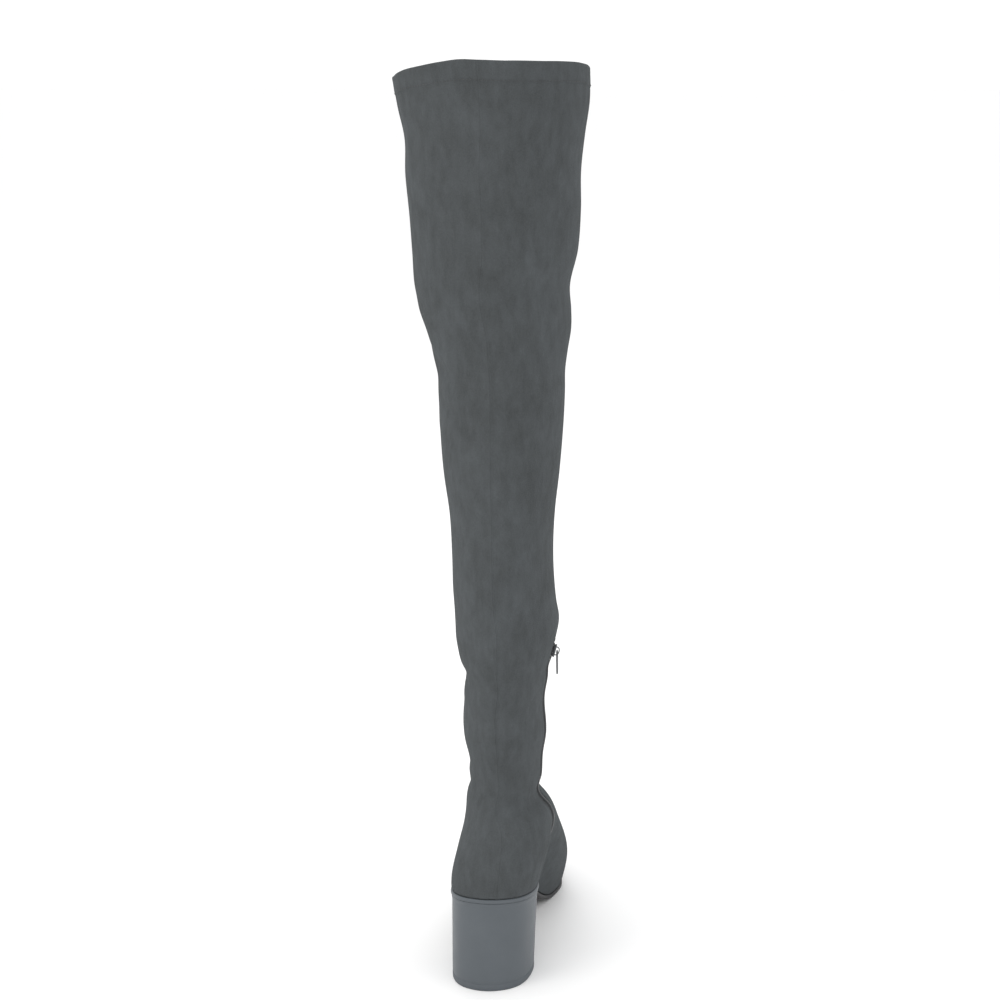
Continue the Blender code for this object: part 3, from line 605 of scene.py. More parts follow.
def make_suede():
    """Charcoal suede: a short matt nap, brushed into lighter and darker drifts, with a soft sheen."""
    material, shader = add_material("stretch_suede")
    place = own_place(material)
    drift = noise(material, place, 16.0, 5.0, 0.6, 0.8)
    brushed = add_node(material, "ShaderNodeMapping", {"Vector": place, "Scale": (1.0, 1.0, 0.45)})
    strokes = noise(material, brushed.outputs[0], 150.0, 5.0, 0.6)
    nap = noise(material, place, 1100.0, 4.0, 0.75)
    mix = math_of(material, "ADD", math_of(material, "ADD", drift, strokes), nap)
    ramp = add_node(material, "ShaderNodeMapRange", {"Value": mix, "From Min": 1.05, "From Max": 1.95})
    two_tones(material, shader, ramp.outputs[0], (0.053, 0.057, 0.058), (0.086, 0.094, 0.099))
    raise_bump(material, shader, mix, 0.0007, 0.55)
    shader.inputs["Roughness"].default_value = 0.95
    shader.inputs["Specular IOR Level"].default_value = 0.06
    shader.inputs["Sheen Weight"].default_value = 0.03
    shader.inputs["Sheen Roughness"].default_value = 0.50
    shader.inputs["Sheen Tint"].default_value = (0.80, 0.86, 0.92, 1.0)
    return material


def make_lining():
    """Lining: a fine black knit, its columns of loops as two waves along the skin's own measures."""
    material, shader = add_material("knit_lining")
    place = add_node(material, "ShaderNodeUVMap", uv_map="surface").outputs[0]
    wales = add_node(material, "ShaderNodeTexWave", {"Vector": place, "Scale": 190.0, "Distortion": 0.6,
                                                     "Detail": 1.0}, bands_direction="X")
    courses = add_node(material, "ShaderNodeTexWave", {"Vector": place, "Scale": 260.0, "Distortion": 0.6,
                                                       "Detail": 1.0}, bands_direction="Y")
    knit = math_of(material, "MULTIPLY", wales.outputs[1], courses.outputs[1])
    two_tones(material, shader, knit, (0.020, 0.020, 0.021), (0.050, 0.050, 0.052))
    raise_bump(material, shader, knit, 0.0003, 0.5)
    shader.inputs["Roughness"].default_value = 0.85
    shader.inputs["Sheen Weight"].default_value = 0.2
    return material


upper_quads = np.concatenate((skin_quads, front_edge, back_edge))
upper = add_mesh("suede_upper", rings, upper_quads, (make_suede(), make_lining()), lining_faces, surface_uv)
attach(upper, "boot")
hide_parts("upper", "shaft")


# Outsole: a thin moulded sole from toe to heel seat, cemented on, its edge rounded and trimmed close.
# Under the heel cup its edge is covered like the heel.
SOLE_EDGE = 0.0006
SOLE_ROUND = 0.0011
TREAD_INSET = 0.006
TREAD_FROM = 0.112
BREAST_JOINT = -0.001
JOINT_WIDTH = 0.0005
JOINT_DEPTH = 0.0004
JOINT_FROM = 0.004
SPINE_BACK = 0.030
SPINE_TOE = 0.036
OUTLINE_STATIONS = 130
OUTLINE_FINE = 4001
UNDERSIDE_DEPTH = 0.0002
MERGE_DISTANCE = 0.00002
SHARP_ANGLE = math.radians(48)

breast_y = HEEL_LENGTH - HEEL_BACK


def ring_numbers(rows, count):
    """Point numbers of closed rings, one row for each ring, with its first point repeated at the end."""
    number = np.arange(rows * count).reshape(rows, count)
    return np.concatenate((number, number[:, :1]), axis=1)


def shell(name, outline, spine, bottom, top, rounding, materials, pick=None):
    """Closed slab from a plan outline: flat rings drawn in to a spine below and above, with a rounded side.

    The side's corners are quarter circles; bottom and top give heights from the plan's points.
    """
    arc = np.linspace(0, math.pi / 2, 5)
    draws = np.linspace(0, 0.97, 14)
    reach = np.linalg.norm(outline - spine, axis=-1, keepdims=True)
    towards = (spine - outline) / np.maximum(reach, 1e-6)
    corner = outline + towards * rounding
    layers = []
    for surface, sign in ((bottom, 1), (top, -1)):
        flat = [(spine + (corner - spine) * draw, 0.0) for draw in draws]
        side = [(outline + towards * rounding * (1 - math.sin(angle)), rounding * (1 - math.cos(angle)))
                for angle in arc]
        layers += [(plan, surface(plan) + sign * rise) for plan, rise in (flat + side)[::sign]]
    points = np.stack([np.concatenate((plan, height[:, None]), axis=1) for plan, height in layers])
    faces = grid_quads(ring_numbers(*points.shape[:2]))
    middle = points.reshape(-1, 3)[faces].mean(axis=1)
    piece = add_mesh(name, points, faces, materials, pick(middle) if pick else None)
    merge_poles(piece)
    return piece


def merge_poles(piece):
    """Merges points that coincide, where a shell's rings meet on its spine."""
    work = bmesh.new()
    work.from_mesh(piece.data)
    bmesh.ops.remove_doubles(work, verts=work.verts, dist=MERGE_DISTANCE)
    work.to_mesh(piece.data)
    work.free()
    piece.data.set_sharp_from_angle(angle=SHARP_ANGLE)


def sole_outline(inset):
    """Outline of the sole and its middle line, as plans of points paired across from heel to toe and back.

    Stations are spaced by a cosine from the outline's rearmost to its foremost point.
    """
    turns = np.linspace(-0.1, 0.9, OUTLINE_FINE)
    x, y = last_edge(turns, inset)
    back, toe = np.argmin(y[:OUTLINE_FINE // 4]), np.argmax(y)
    rear = np.concatenate((np.arange(toe, len(turns)), np.arange(1, back + 1)))
    spread = (1 - np.cos(np.linspace(0, math.pi, OUTLINE_STATIONS))) / 2
    stations = y[back] + (y[toe] - y[back]) * spread
    inner_x = np.interp(stations, y[back:toe + 1], x[back:toe + 1])
    outer_x = np.interp(stations, y[rear][::-1], x[rear][::-1])
    outer_x[0], outer_x[-1] = inner_x[0], inner_x[-1]
    middle = (inner_x + outer_x) / 2
    along = stations.clip(stations[0] + SPINE_BACK, stations[-1] - SPINE_TOE)
    spine = np.stack((np.interp(along, stations, middle), along), axis=-1)
    inner_side = np.stack((inner_x, stations), axis=-1)
    outer_side = np.stack((outer_x, stations), axis=-1)[-2:0:-1]
    return np.concatenate((inner_side, outer_side)), np.concatenate((spine, spine[-2:0:-1]))


def make_rubber(name="sole_rubber"):
    """Sole: matt black resin rubber with a fine moulded grain."""
    material, shader = add_material(name)
    place = own_place(material)
    grain = add_node(material, "ShaderNodeTexVoronoi", {"Vector": place, "Scale": 900.0})
    cloud = noise(material, place, 60.0, 4.0)
    two_tones(material, shader, cloud, (0.012, 0.012, 0.013), (0.034, 0.034, 0.035))
    raise_bump(material, shader, grain.outputs[0], 0.0002, 0.4)
    shader.inputs["Roughness"].default_value = 0.55
    return material


def make_tread():
    """Tread of the forefoot: the sole's rubber with fine ribs across it, a triangular wave along the boot."""
    material = make_rubber("sole_tread")
    ribs = add_node(material, "ShaderNodeTexWave", {"Vector": own_place(material), "Scale": 105.0},
                    bands_direction="Y", wave_profile="TRI")
    raise_bump(material, material.node_tree.nodes["Principled BSDF"], ribs.outputs[1], 0.0008, 0.9)
    return material


def make_cover():
    """Heel cover: smooth calf pulled tight, fine-grained, with a satin bloom that looks blue-grey."""
    material, shader = add_material("satin_cover")
    place = own_place(material)
    grain = add_node(material, "ShaderNodeTexVoronoi", {"Vector": place, "Scale": 1300.0})
    cloud = noise(material, place, 38.0, 5.0, 0.6)
    two_tones(material, shader, cloud, (0.066, 0.077, 0.087), (0.092, 0.105, 0.117))
    bloom = add_node(material, "ShaderNodeMapRange", {"Value": cloud, "From Min": 0.3, "From Max": 0.7,
                                                      "To Min": 0.40, "To Max": 0.52})
    feed(material, bloom.outputs[0], shader.inputs["Roughness"])
    fine = raise_bump(material, shader, grain.outputs[0], 0.00012, 0.35)
    parts = add_node(material, "ShaderNodeSeparateXYZ", {0: place})
    across = math_of(material, "ABSOLUTE", math_of(material, "SUBTRACT", parts.outputs[0], BREAST_JOINT))
    joint = add_node(material, "ShaderNodeMapRange", {"Value": across, "From Min": 0.0,
                                                      "From Max": JOINT_WIDTH})
    behind = math_of(material, "LESS_THAN", parts.outputs[1], breast_y - JOINT_FROM)
    groove = math_of(material, "MAXIMUM", joint.outputs[0], behind)
    seam = add_node(material, "ShaderNodeBump", {"Height": groove, "Distance": JOINT_DEPTH, "Normal": fine})
    feed(material, seam.outputs[0], shader.inputs["Normal"])
    shader.inputs["Specular IOR Level"].default_value = 0.45
    return material


def sole_faces(middle):
    """Material of each face: the cover on the seat's edge, the tread inside the forefoot's underside.

    Tests the face's middle against the outline drawn in, and its height against the sole's underside.
    """
    x, y, depth = middle[:, 0], middle[:, 1], middle[:, 2] - sole_height(middle[:, 1])
    outline, spine = sole_outline(TREAD_INSET)
    side = outline[:OUTLINE_STATIONS]
    inner_x = np.interp(y, side[:, 1], side[:, 0])
    outer_x = np.interp(y, np.append(side[0, 1], outline[:OUTLINE_STATIONS - 1:-1, 1]),
                        np.append(side[0, 0], outline[:OUTLINE_STATIONS - 1:-1, 0]))
    below = (np.abs(depth) < UNDERSIDE_DEPTH) & (y > TREAD_FROM) & (y < side[-1, 1])
    tread = below & (x > outer_x) & (x < inner_x)
    seat_edge = (y < breast_y) & (depth > UNDERSIDE_DEPTH)
    return seat_edge * 1 + tread * 2


cover = make_cover()
sole = shell("moulded_outsole", *sole_outline(-SOLE_EDGE), lambda p: sole_height(p[..., 1]),
             lambda p: sole_top(p[..., 1]), SOLE_ROUND, (make_rubber(), cover, make_tread()), sole_faces)
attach(sole, "boot")
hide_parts("outsole")


# Insole: a thin board under a soft sock of black microfibre, glued in last. It shows only from above.
INSOLE_FIT = 0.0009
INSOLE_THICKNESS = 0.0025
INSOLE_ROUND = 0.0009


def make_sock():
    """Sock lining: matt charcoal microfibre with a fine even nap."""
    material, shader = add_material("sock_microfibre")
    nap = noise(material, own_place(material), 900.0, 4.0)
    two_tones(material, shader, nap, (0.030, 0.029, 0.028), (0.075, 0.072, 0.069))
    raise_bump(material, shader, nap, 0.0003, 0.4)
    shader.inputs["Roughness"].default_value = 0.9
    return material


insole = shell("sock_insole", *sole_outline(WALL + INSOLE_FIT), lambda p: sole_top(p[..., 1], GAP),
               lambda p: sole_top(p[..., 1], GAP + INSOLE_THICKNESS), INSOLE_ROUND, (make_sock(),))
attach(insole, "boot")
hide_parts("insole")


# Block heel: a moulded core covered in one sheet, its joint down the middle of the breast, with a thin
# rolled lip at the seat. It is screwed on from inside the seat.
HEEL_TAPER = 0.0012
HEEL_LEAN = 0.0018
HEEL_LIP = 0.0004
TIP_THICKNESS = 0.0055
HEEL_COUNT = 240
HEEL_FINE = 4 * HEEL_COUNT
HEEL_CORNER = 0.0022
BREAST_HOLLOW = 0.0007
BREAST_FINE = 200
HEEL_CAPS = (0.0, 0.3, 0.6, 0.85)

# Sides of the heel: share of its height, share of the full taper, share of the lip that stands out.
HEEL_SIDES = (
    (0.00, 1.00, 0.0), (0.35, 0.68, 0.0), (0.70, 0.32, 0.0), (0.90, 0.11, 0.0),
    (0.955, 0.05, 0.3), (0.975, 0.02, 1.0), (1.00, 0.00, 1.0),
)


def heel_plan():
    """Outline of the heel: the last's edge behind the breast, closed by the breast, corners rounded off.

    The outline is spaced evenly by its length, then averaged over the corner's radius with a bell.
    """
    turns = np.linspace(-0.25, 0.25, 1200)
    x, y = last_edge(turns)
    kept = y <= breast_y
    x, y = x[kept], y[kept]
    across = np.linspace(x[-1], x[0], BREAST_FINE)[1:-1]
    hollow = BREAST_HOLLOW * np.sin(np.linspace(0, math.pi, BREAST_FINE)[1:-1])
    x, y = np.concatenate((x, across, x[:1])), np.concatenate((y, breast_y - hollow, y[:1]))
    run = run_length(np.stack((x, y), axis=-1))
    even = np.linspace(0, run[-1], HEEL_FINE, endpoint=False)
    offsets = (np.arange(HEEL_FINE) + HEEL_FINE // 2) % HEEL_FINE - HEEL_FINE // 2
    bell = np.exp(-(offsets * run[-1] / HEEL_FINE / (HEEL_CORNER / 2)) ** 2)
    blur = np.fft.rfft(bell / bell.sum())
    soft = [np.fft.irfft(np.fft.rfft(np.interp(even, run, axis)) * blur, HEEL_FINE) for axis in (x, y)]
    return np.stack(soft, axis=-1)[::HEEL_FINE // HEEL_COUNT]


def heel_ring(share):
    """Plan of the heel at a share of its height, drawn in by the taper and the lip, leaning outwards."""
    taper = smooth(HEEL_SIDES, 1, share)
    lip = smooth(HEEL_SIDES, 2, share).clip(0, 1)
    narrow = 1 - 2 * (HEEL_TAPER * taper + HEEL_LIP * (1 - lip)) / SEAT_WIDTH
    middle = HEEL_LENGTH / 2 - HEEL_BACK
    plan = heel_plan() * narrow
    return plan + (-HEEL_LEAN * taper, middle * (1 - narrow))


def capped(rings, shares):
    """Points and faces of a closed solid through rings; each end ring is drawn in to its middle by shares."""
    low, high = rings[0], rings[-1]
    draws = np.array(shares)[:, None, None]
    below = low.mean(axis=0) + (low - low.mean(axis=0)) * draws
    above = high.mean(axis=0) + (high - high.mean(axis=0)) * draws[::-1]
    points = np.concatenate((below, rings, above))
    return points, grid_quads(ring_numbers(*points.shape[:2]))


def stack(name, rings, materials):
    """Closed piece from rings of points, one above the other."""
    piece = add_mesh(name, *capped(rings, HEEL_CAPS), materials)
    merge_poles(piece)
    return piece


heel_foot = TIP_THICKNESS + GAP
heel_shares = np.concatenate((np.linspace(0, 0.9, 40), np.linspace(0.905, 1.0, 24)))
heel_rings = []
for heel_share in heel_shares:
    plan = heel_ring(heel_share)
    seat = sole_height(plan[:, 1]) - GAP * sole_stretch(plan[:, 1])
    heel_rings.append(np.concatenate((plan, (heel_foot + (seat - heel_foot) * heel_share)[:, None]), axis=1))
heel = stack("covered_heel", np.stack(heel_rings), (cover,))
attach(heel, "boot")
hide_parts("heel")


# Heel tip: a hard rubber lift nailed under the heel, coloured to match it.
# Its lower edge is rounded by wear and its side is trimmed flush with the heel.
TIP_ROUND = 0.0005
TIP_TOP_ROUND = 0.0001

tip_plan = heel_ring(0.0)
tip_middle = tip_plan.mean(axis=0)
tip_rings = []
for tip_inset, tip_height in ((TIP_ROUND, 0.0), (0.3 * TIP_ROUND, 0.3 * TIP_ROUND), (0.0, TIP_ROUND),
                              (0.0, TIP_THICKNESS - TIP_TOP_ROUND), (TIP_TOP_ROUND, TIP_THICKNESS)):
    inward = tip_middle - tip_plan
    inward = inward / np.linalg.norm(inward, axis=1, keepdims=True)
    ring = tip_plan + inward * tip_inset
    tip_rings.append(np.concatenate((ring, np.full((len(ring), 1), tip_height)), axis=1))


def make_lift():
    """Lift: dense rubber, dyed blue-black, satin on its trimmed side, with a fine moulded stipple."""
    material, shader = add_material("lift_rubber")
    place = own_place(material)
    stipple = add_node(material, "ShaderNodeTexVoronoi", {"Vector": place, "Scale": 1100.0})
    cloud = noise(material, place, 70.0, 4.0)
    two_tones(material, shader, cloud, (0.064, 0.074, 0.084), (0.088, 0.101, 0.113))
    raise_bump(material, shader, stipple.outputs[0], 0.0002, 0.4)
    shader.inputs["Roughness"].default_value = 0.6
    return material


tip = stack("heel_lift", np.stack(tip_rings), (make_lift(),))
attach(tip, "boot")
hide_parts("heel_tip")


# Zip: a nylon coil zip dyed to the suede, closed, on a woven tape sewn into the slot on the inner side.
# The tape lies a little below the suede's face, and the coil's loops stand on it.
ZIP_END = 0.0012
TAPE_SINK = 0.0006
TAPE_THICKNESS = 0.0013
TAPE_OVER = 0.002
TAPE_ROWS = 220
COIL_PITCH = 0.0015
COIL_START = 0.0008
COIL_END = 0.0012
COIL_THICK = 0.00030
COIL_SIDES = 7

# Upper face of the tape: share of its half width, height above its bed.
TAPE_PROFILE = (
    (-1.0, -0.0004), (-0.96, -0.0001), (-0.88, 0.0), (-0.52, 0.0), (-0.44, 0.00012), (-0.30, 0.0002),
    (0.0, 0.0002), (0.30, 0.0002), (0.44, 0.00012), (0.52, 0.0), (0.88, 0.0), (0.96, -0.0001), (1.0, -0.0004),
)

# One loop of the coil, from its foot on the tape to its head past the middle: distance, height.
COIL_LOOP = (
    (0.00210, -0.00055), (0.00208, -0.00020), (0.00185, 0.00030), (0.00150, 0.00050), (0.00095, 0.00060),
    (0.00040, 0.00062), (-0.00010, 0.00060), (-0.00045, 0.00048), (-0.00060, 0.00020), (-0.00060, -0.00020),
)


def zip_point(along, across, height):
    """Point at a length along the zip, a distance square to it and a height above the suede's face.

    Past either end the length goes on straight up or down the skin.
    """
    levels = np.interp(along, zip_run, zip_levels)
    foot_speed = (zip_levels[1] - zip_levels[0]) / zip_run[1]
    top_speed = (zip_levels[-1] - zip_levels[-2]) / (zip_run[-1] - zip_run[-2])
    levels = levels + np.minimum(along, 0) * foot_speed + np.maximum(along - zip_run[-1], 0) * top_speed
    turns = ZIP_TURN + np.interp(levels, zip_levels, zip_turn_step) * across
    levels = levels + np.interp(levels, zip_levels, zip_level_step) * across
    return skin(levels, turns) + boot_normal(levels, turns) * np.asarray(height)[..., None]


def sweep(lines, across, half_width, half_height, sides=8):
    """Closed tubes round lines: ellipses across and square to each line, shrunk to a point at both ends.

    Lines are (tube, ring, axis); the section's upright axis is the cross product of the line and across.
    """
    run = np.gradient(lines, axis=1)
    run = run / np.linalg.norm(run, axis=-1, keepdims=True)
    across = np.broadcast_to(across, lines.shape)
    across = across - run * (across * run).sum(axis=-1, keepdims=True)
    across = across / np.linalg.norm(across, axis=-1, keepdims=True)
    lift = np.cross(run, across)
    angles = np.arange(sides) / sides * 2 * math.pi
    wide = (np.asarray(half_width) * np.ones(lines.shape[1]))[None, :, None, None] * across[:, :, None]
    tall = (np.asarray(half_height) * np.ones(lines.shape[1]))[None, :, None, None] * lift[:, :, None]
    tube = lines[:, :, None] + wide * np.cos(angles)[:, None] + tall * np.sin(angles)[:, None]
    ends = np.broadcast_to(lines[:, [0, -1], None], (len(lines), 2, sides, 3))
    tube = np.concatenate((ends[:, :1], tube, ends[:, 1:]), axis=1)
    rows = tube.shape[1]
    one = grid_quads(ring_numbers(rows, sides))
    faces = (one[None] + np.arange(len(lines))[:, None, None] * rows * sides).reshape(-1, 4)
    return tube.reshape(-1, 3), faces


def joined(*parts):
    """Points, faces and the material number of each face for several sets of points and faces in one mesh."""
    points, faces, numbers, offset = [], [], [], 0
    for some_points, some_faces, number in parts:
        points.append(some_points.reshape(-1, 3))
        faces.append(some_faces + offset)
        numbers.append(np.full(len(some_faces), number))
        offset += len(points[-1])
    return np.concatenate(points), np.concatenate(faces), np.concatenate(numbers)


def make_tape():
    """Zip tape: black woven tape, its twill a herringbone of diagonal waves on the tape's own measures."""
    material, shader = add_material("woven_tape")
    place = add_node(material, "ShaderNodeUVMap", uv_map="surface").outputs[0]
    parts = add_node(material, "ShaderNodeSeparateXYZ", {0: place})
    slant = math_of(material, "ADD", math_of(material, "ABSOLUTE", parts.outputs[0]), parts.outputs[1])
    line = add_node(material, "ShaderNodeCombineXYZ", {0: slant})
    twill = add_node(material, "ShaderNodeTexWave", {"Vector": line.outputs[0], "Scale": 560.0}).outputs[1]
    fibre = noise(material, place, 2600.0, 3.0)
    two_tones(material, shader, twill, (0.030, 0.031, 0.032), (0.062, 0.064, 0.067))
    raise_bump(material, shader, math_of(material, "ADD", twill, fibre), 0.00015, 0.6)
    shader.inputs["Roughness"].default_value = 0.8
    return material


def make_nylon():
    """Coil: nylon monofilament dyed to the suede, smooth and slightly glossy, with a faint drawn streak."""
    material, shader = add_material("coil_nylon")
    streak = noise(material, own_place(material), 700.0)
    two_tones(material, shader, streak, (0.050, 0.053, 0.055), (0.078, 0.082, 0.086))
    raise_bump(material, shader, streak, 0.0001, 0.3)
    shader.inputs["Roughness"].default_value = 0.38
    return material


tape_run = np.linspace(-TAPE_OVER, zip_run[-1] + TAPE_OVER, TAPE_ROWS)
profile = np.array(TAPE_PROFILE)
tape_half = ZIP_WIDTH / 2 * np.ones((TAPE_ROWS, 1))
tape_across = np.concatenate((tape_half * profile[:, 0], tape_half * profile[::-1, 0]), axis=1)
tape_heights = np.concatenate((profile[:, 1] - TAPE_SINK, np.full(len(profile), -TAPE_THICKNESS)))
tape_points = zip_point(tape_run[:, None], tape_across, tape_heights + 0 * tape_half)
tape_index = np.arange(tape_points.shape[0] * tape_points.shape[1]).reshape(tape_points.shape[:2])
tape_faces = grid_quads(ring_numbers(*tape_points.shape[:2]))
tape_foot = grid_quads(np.stack((tape_index[0, :len(profile)], tape_index[0, len(profile):][::-1])))
tape_head = grid_quads(np.stack((tape_index[-1, len(profile):][::-1], tape_index[-1, :len(profile)])))
tape_faces = np.concatenate((tape_faces, tape_foot[:, ::-1], tape_head[:, ::-1]))
tape_uv = np.stack(np.broadcast_arrays(tape_across, tape_run[:, None]), axis=-1)

coil_count = int((zip_run[-1] - COIL_END) / (COIL_PITCH / 2))
coil_run = COIL_START + np.arange(coil_count) * COIL_PITCH / 2
coil_side = np.where(np.arange(coil_count) % 2, 1.0, -1.0)
loop = np.array(COIL_LOOP)
coil_lines = zip_point(coil_run[:, None] + 0 * loop[:, 0], coil_side[:, None] * loop[:, 0],
                       loop[:, 1] + 0 * coil_side[:, None])
zip_steps_up = np.gradient(zip_line, axis=0)
coil_up = np.stack([np.interp(coil_run, zip_run, steps) for steps in zip_steps_up.T], axis=-1)
coil_points, coil_faces = sweep(coil_lines, coil_up[:, None], COIL_THICK, COIL_THICK, COIL_SIDES)
zip_points, zip_faces, zip_materials = joined((tape_points, tape_faces, 0), (coil_points, coil_faces, 1))
zip_uv = np.concatenate((tape_uv.reshape(-1, 2), np.zeros((len(coil_points), 2))))
zipper = add_mesh("coil_zip", zip_points, zip_faces, (make_tape(), make_nylon()), zip_materials, zip_uv)
merge_poles(zipper)
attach(zipper, "boot")
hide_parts("zip")


# Slider: a die-cast zinc body with side rails that hold the coil together, and a bridge over its back,
# all enamelled. It stands at the top of the closed zip.
TEETH_RISE = 0.0009
SLIDER_DROP = 0.0056
SLIDER_LENGTH = 0.010
SLIDER_WIDTH = 0.0072
SLIDER_THICKNESS = 0.0014
SLIDER_LIFT = 0.0005
SLIDER_WAIST = 0.12
RAIL_WIDTH = 0.0005
RAIL_DEPTH = 0.0011
RAIL_SINK = 0.0002
BRIDGE_LENGTH = 0.0074
BRIDGE_WIDTH = 0.0013
BRIDGE_OPENING = 0.0022
BRIDGE_THICKNESS = 0.0008
BRIDGE_ARCH = 0.6
SLIDER_START_SHARE = ZIP_TOP / SHAFT_LENGTH * 8 / 9
SLIDER_STEP = 0.003
SLIDER_CAPS = (0.0, 0.35, 0.7)

# Body of the slider: scale of its outline, depth below its face as a share of its thickness.
SLIDER_BODY = ((0.90, 1.0), (0.97, 0.95), (1.0, 0.80), (1.0, 0.35), (0.975, 0.12), (0.92, 0.02), (0.82, 0.0))


def slider_frame():
    """Middle of the slider's face and its out, side and up directions, from the zip's last stretch."""
    end = (ZIP_TOP - ZIP_END) / SHAFT_LENGTH
    low, high = leg_point(np.array((SLIDER_START_SHARE, end)), ZIP_TURN)
    above, below = leg_point(np.array((end + SLIDER_STEP, end - SLIDER_STEP)), ZIP_TURN)
    ahead, behind = leg_point(end, np.array((ZIP_TURN + SLIDER_STEP, ZIP_TURN - SLIDER_STEP)))
    slope = (above - below) / np.linalg.norm(above - below)
    side = ahead - behind
    side = side - slope * (side @ slope)
    side = side / np.linalg.norm(side)
    up = (high - low) / np.linalg.norm(high - low)
    out = np.cross(side, up)
    return high - up * SLIDER_DROP + out * (TEETH_RISE + SLIDER_LIFT + SLIDER_THICKNESS), out, side, up


def outline_points(half_width, top, bottom, count, squareness):
    """Outline with rounded corners, as (across, along) rows: a superellipse between a top and a bottom."""
    angles = 2 * math.pi * (np.arange(count) + 0.5) / count
    across = np.sign(np.cos(angles)) * np.abs(np.cos(angles)) ** (2 / squareness) * half_width
    along = np.sign(np.sin(angles)) * np.abs(np.sin(angles)) ** (2 / squareness)
    return np.stack((across, (top + bottom) / 2 + along * (top - bottom) / 2), axis=-1)


def make_metal():
    """Zip metal: zinc under a satin enamel in the suede's grey, with fine wear that changes its gloss."""
    material, shader = add_material("grey_enamel")
    wear = noise(material, own_place(material), 900.0, 5.0, 0.7)
    two_tones(material, shader, wear, (0.062, 0.066, 0.070), (0.088, 0.092, 0.097))
    gloss = add_node(material, "ShaderNodeMapRange", {"Value": wear, "From Min": 0.3, "From Max": 0.7,
                                                      "To Min": 0.30, "To Max": 0.46})
    feed(material, gloss.outputs[0], shader.inputs["Roughness"])
    raise_bump(material, shader, wear, 0.00005, 0.25)
    shader.inputs["Metallic"].default_value = 0.25
    shader.inputs["Coat Weight"].default_value = 0.15
    return material


metal = make_metal()
face, out, side, up = slider_frame()
body_outline = outline_points(SLIDER_WIDTH / 2, SLIDER_LENGTH / 2, -SLIDER_LENGTH / 2, 56, 3.2)
body_outline[:, 0] *= 1 - SLIDER_WAIST * (1 - body_outline[:, 1] / (SLIDER_LENGTH / 2)) / 2
body_rings = []
for body_scale, body_depth in SLIDER_BODY:
    local = body_outline * body_scale
    depths = out * -body_depth * SLIDER_THICKNESS
    body_rings.append(face + side * local[:, :1] + up * local[:, 1:] + depths)
rail_along = np.linspace(-0.40, 0.40, 9) * SLIDER_LENGTH
rail_across = (SLIDER_WIDTH / 2 - 2 * RAIL_WIDTH) * (1 - SLIDER_WAIST * (0.5 - rail_along / SLIDER_LENGTH))
rail_depth = SLIDER_THICKNESS + RAIL_DEPTH / 2 - RAIL_SINK
rail_lines = np.stack([face + side * sign * rail_across[:, None] + up * rail_along[:, None] - out * rail_depth
                       for sign in (-1, 1)])
arch = np.linspace(0, math.pi, 25)
arch_height = np.sin(arch).clip(0) ** BRIDGE_ARCH * (BRIDGE_OPENING + BRIDGE_THICKNESS / 2 + GAP) - GAP
arch_along = np.cos(arch) * (BRIDGE_LENGTH - BRIDGE_THICKNESS) / 2
arch_line = face + out * arch_height[:, None] - up * arch_along[:, None]
slider_points, slider_faces, slider_materials = joined(
    (*capped(np.stack(body_rings), SLIDER_CAPS), 0),
    (*sweep(rail_lines, side, RAIL_WIDTH / 2, RAIL_DEPTH / 2, 10), 0),
    (*sweep(arch_line[None], side, BRIDGE_WIDTH / 2, BRIDGE_THICKNESS / 2, 14), 0))
slider = add_mesh("zip_slider_body", slider_points, slider_faces, (metal,), slider_materials)
merge_poles(slider)
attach(slider, "boot")
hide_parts("zip_slider")


# Pull: a flat stamped tab, enamelled like the slider. It hangs from the slider's bridge by the bar over
# its window, straight down.
PULL_LENGTH = 0.0185
PULL_WIDTH = 0.0048
PULL_THICKNESS = 0.0012
PULL_WINDOW = 0.0052
PULL_PLAY = 0.00045
PULL_COUNT = 72
PULL_SQUARENESS = 4.0

# Half of the tab's section from its outer edge to its window: share of the way across, depth.
PULL_SECTION = ((0.00, 0.00035), (0.03, 0.00052), (0.12, 0.00060), (0.75, 0.00060), (0.93, 0.00052),
                (1.00, 0.00030))

axis_point = face + out * (BRIDGE_OPENING / 2)
plumb = np.array((0.0, 0.0, 1.0)) - side * side[2]
plumb = plumb / np.linalg.norm(plumb)
front = np.cross(side, plumb)
bar = PULL_THICKNESS / 2
outer_plan = outline_points(PULL_WIDTH / 2, bar, -PULL_LENGTH, PULL_COUNT, PULL_SQUARENESS)
window_half = BRIDGE_WIDTH / 2 + PULL_PLAY
window_plan = outline_points(window_half, -bar, -PULL_WINDOW, PULL_COUNT, PULL_SQUARENESS)
pull_rings = []
for share_in, depth_out in PULL_SECTION + tuple((share, -depth) for share, depth in PULL_SECTION[::-1]):
    local = outer_plan + (window_plan - outer_plan) * share_in
    pull_rings.append(axis_point + side * local[:, :1] + plumb * local[:, 1:] + front * depth_out)
pull_index = np.arange(len(pull_rings) * PULL_COUNT).reshape(len(pull_rings), PULL_COUNT)
pull_index = np.pad(pull_index, (0, 1), mode="wrap")
pull = add_mesh("zip_pull_tab", np.stack(pull_rings), grid_quads(pull_index[:, ::-1]), (metal,))
pull.data.set_sharp_from_angle(angle=SHARP_ANGLE)
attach(pull, "pull")
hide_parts("zip_pull")


# Stitches: bonded black thread, one row round the zip and one along the hem, sunk into the suede.
STITCH_PITCH = 0.0029
STITCH_LENGTH = 0.0025
STITCH_THICK = 0.00020
STITCH_FLAT = 1.15
STITCH_ARCH = 0.00045
STITCH_SINK = 0.00025
STITCH_SIDES = 7
ROW_FINE = 3000
OFF_SKIN = 0.001
ZIP_ROW = 0.0014
ZIP_ROW_CORNER = 0.0022
HEM_ROW = 0.0014


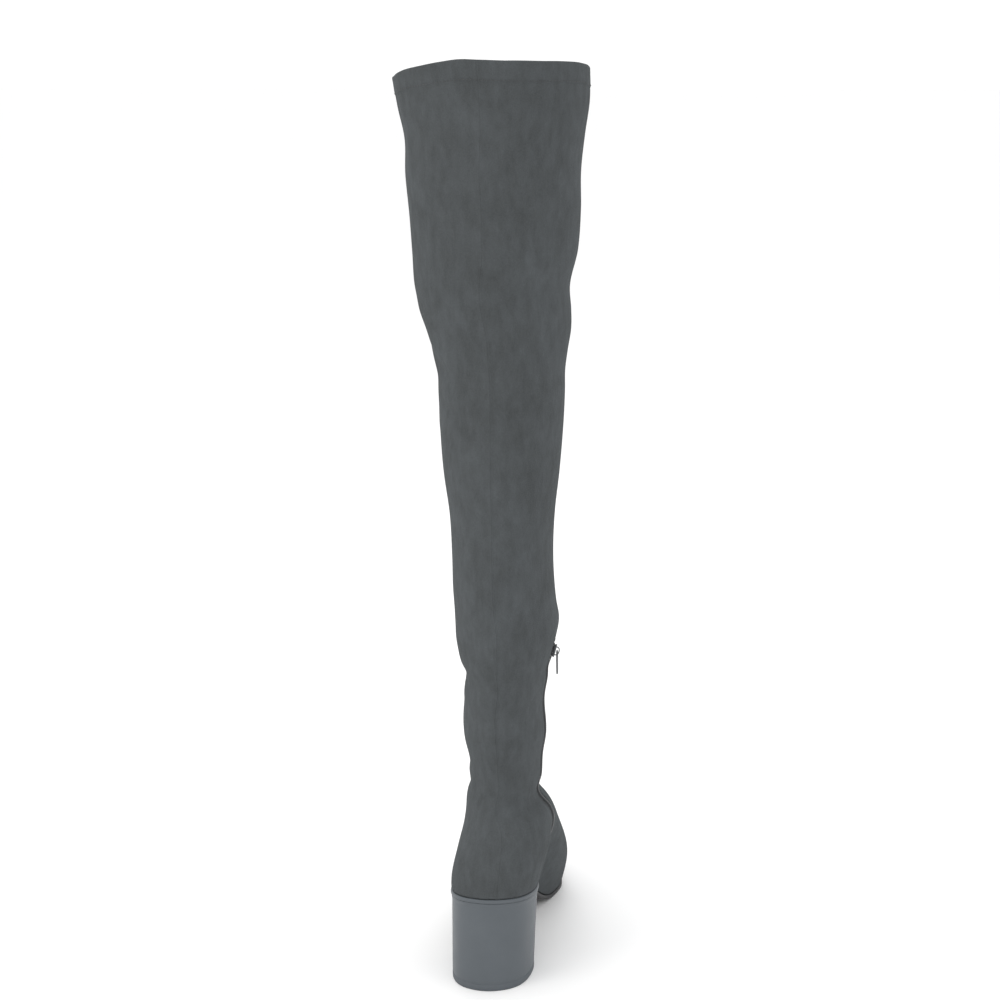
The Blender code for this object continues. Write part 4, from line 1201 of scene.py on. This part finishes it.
def thread(points, normals):
    """Stitches along a line: short tubes that arch out of the skin by half a sine and dive in at the ends."""
    run = run_length(points)
    count = int(run[-1] / STITCH_PITCH)
    middles = (np.arange(count) + 0.5) * run[-1] / count
    share = np.linspace(0, 1, 7)
    at = middles[:, None] + (share - 0.5) * STITCH_LENGTH
    lines = np.stack([np.interp(at, run, points[:, axis]) for axis in range(3)], axis=-1)
    outward = np.stack([np.interp(at, run, normals[:, axis]) for axis in range(3)], axis=-1)
    lines = lines + outward * (np.sin(share * math.pi) * STITCH_ARCH - STITCH_SINK)[:, None]
    across = np.cross(np.gradient(lines, axis=1), outward)
    return sweep(lines, across, STITCH_THICK * STITCH_FLAT, STITCH_THICK, STITCH_SIDES)


def zip_row():
    """Points and directions of the row round the zip: a rounded rectangle laid on the skin."""
    half = ZIP_WINDOW / 2 + ZIP_ROW
    low, high = -ZIP_ROW, zip_run[-1] + ZIP_ROW
    angles = np.linspace(0, 2 * math.pi, 4000) + math.pi / 4
    corner = np.stack((np.cos(angles), np.sin(angles)), axis=-1)
    box = np.sign(corner) * np.array((half - ZIP_ROW_CORNER, (high - low) / 2 - ZIP_ROW_CORNER))
    outline = box + corner * ZIP_ROW_CORNER
    run = run_length(outline)
    even = np.linspace(0, run[-1], ROW_FINE)
    across = np.interp(even, run, outline[:, 0])
    along = np.interp(even, run, outline[:, 1]) + (high + low) / 2
    line = zip_point(along, across, np.zeros(len(across)))
    return line, (zip_point(along, across, np.full(len(across), OFF_SKIN)) - line) / OFF_SKIN


def make_thread():
    """Thread: twisted black polyester, its twist a fine noise."""
    material, shader = add_material("black_thread")
    twist = noise(material, own_place(material), 3000.0)
    two_tones(material, shader, twist, (0.026, 0.027, 0.028), (0.060, 0.062, 0.065))
    raise_bump(material, shader, twist, 0.0001, 0.5)
    shader.inputs["Roughness"].default_value = 0.6
    return material


hem_turns = np.linspace(0, 1, ROW_FINE)
hem_row_levels = np.full(len(hem_turns), hem_level + HEM_ROW / SHAFT_LENGTH)
hem_row = (skin(hem_row_levels, hem_turns), boot_normal(hem_row_levels, hem_turns))
stitch_points, stitch_faces, stitch_materials = joined((*thread(*zip_row()), 0), (*thread(*hem_row), 0))
stitches = add_mesh("thread_stitches", stitch_points, stitch_faces, (make_thread(),), stitch_materials)
merge_poles(stitches)
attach(stitches, "boot")
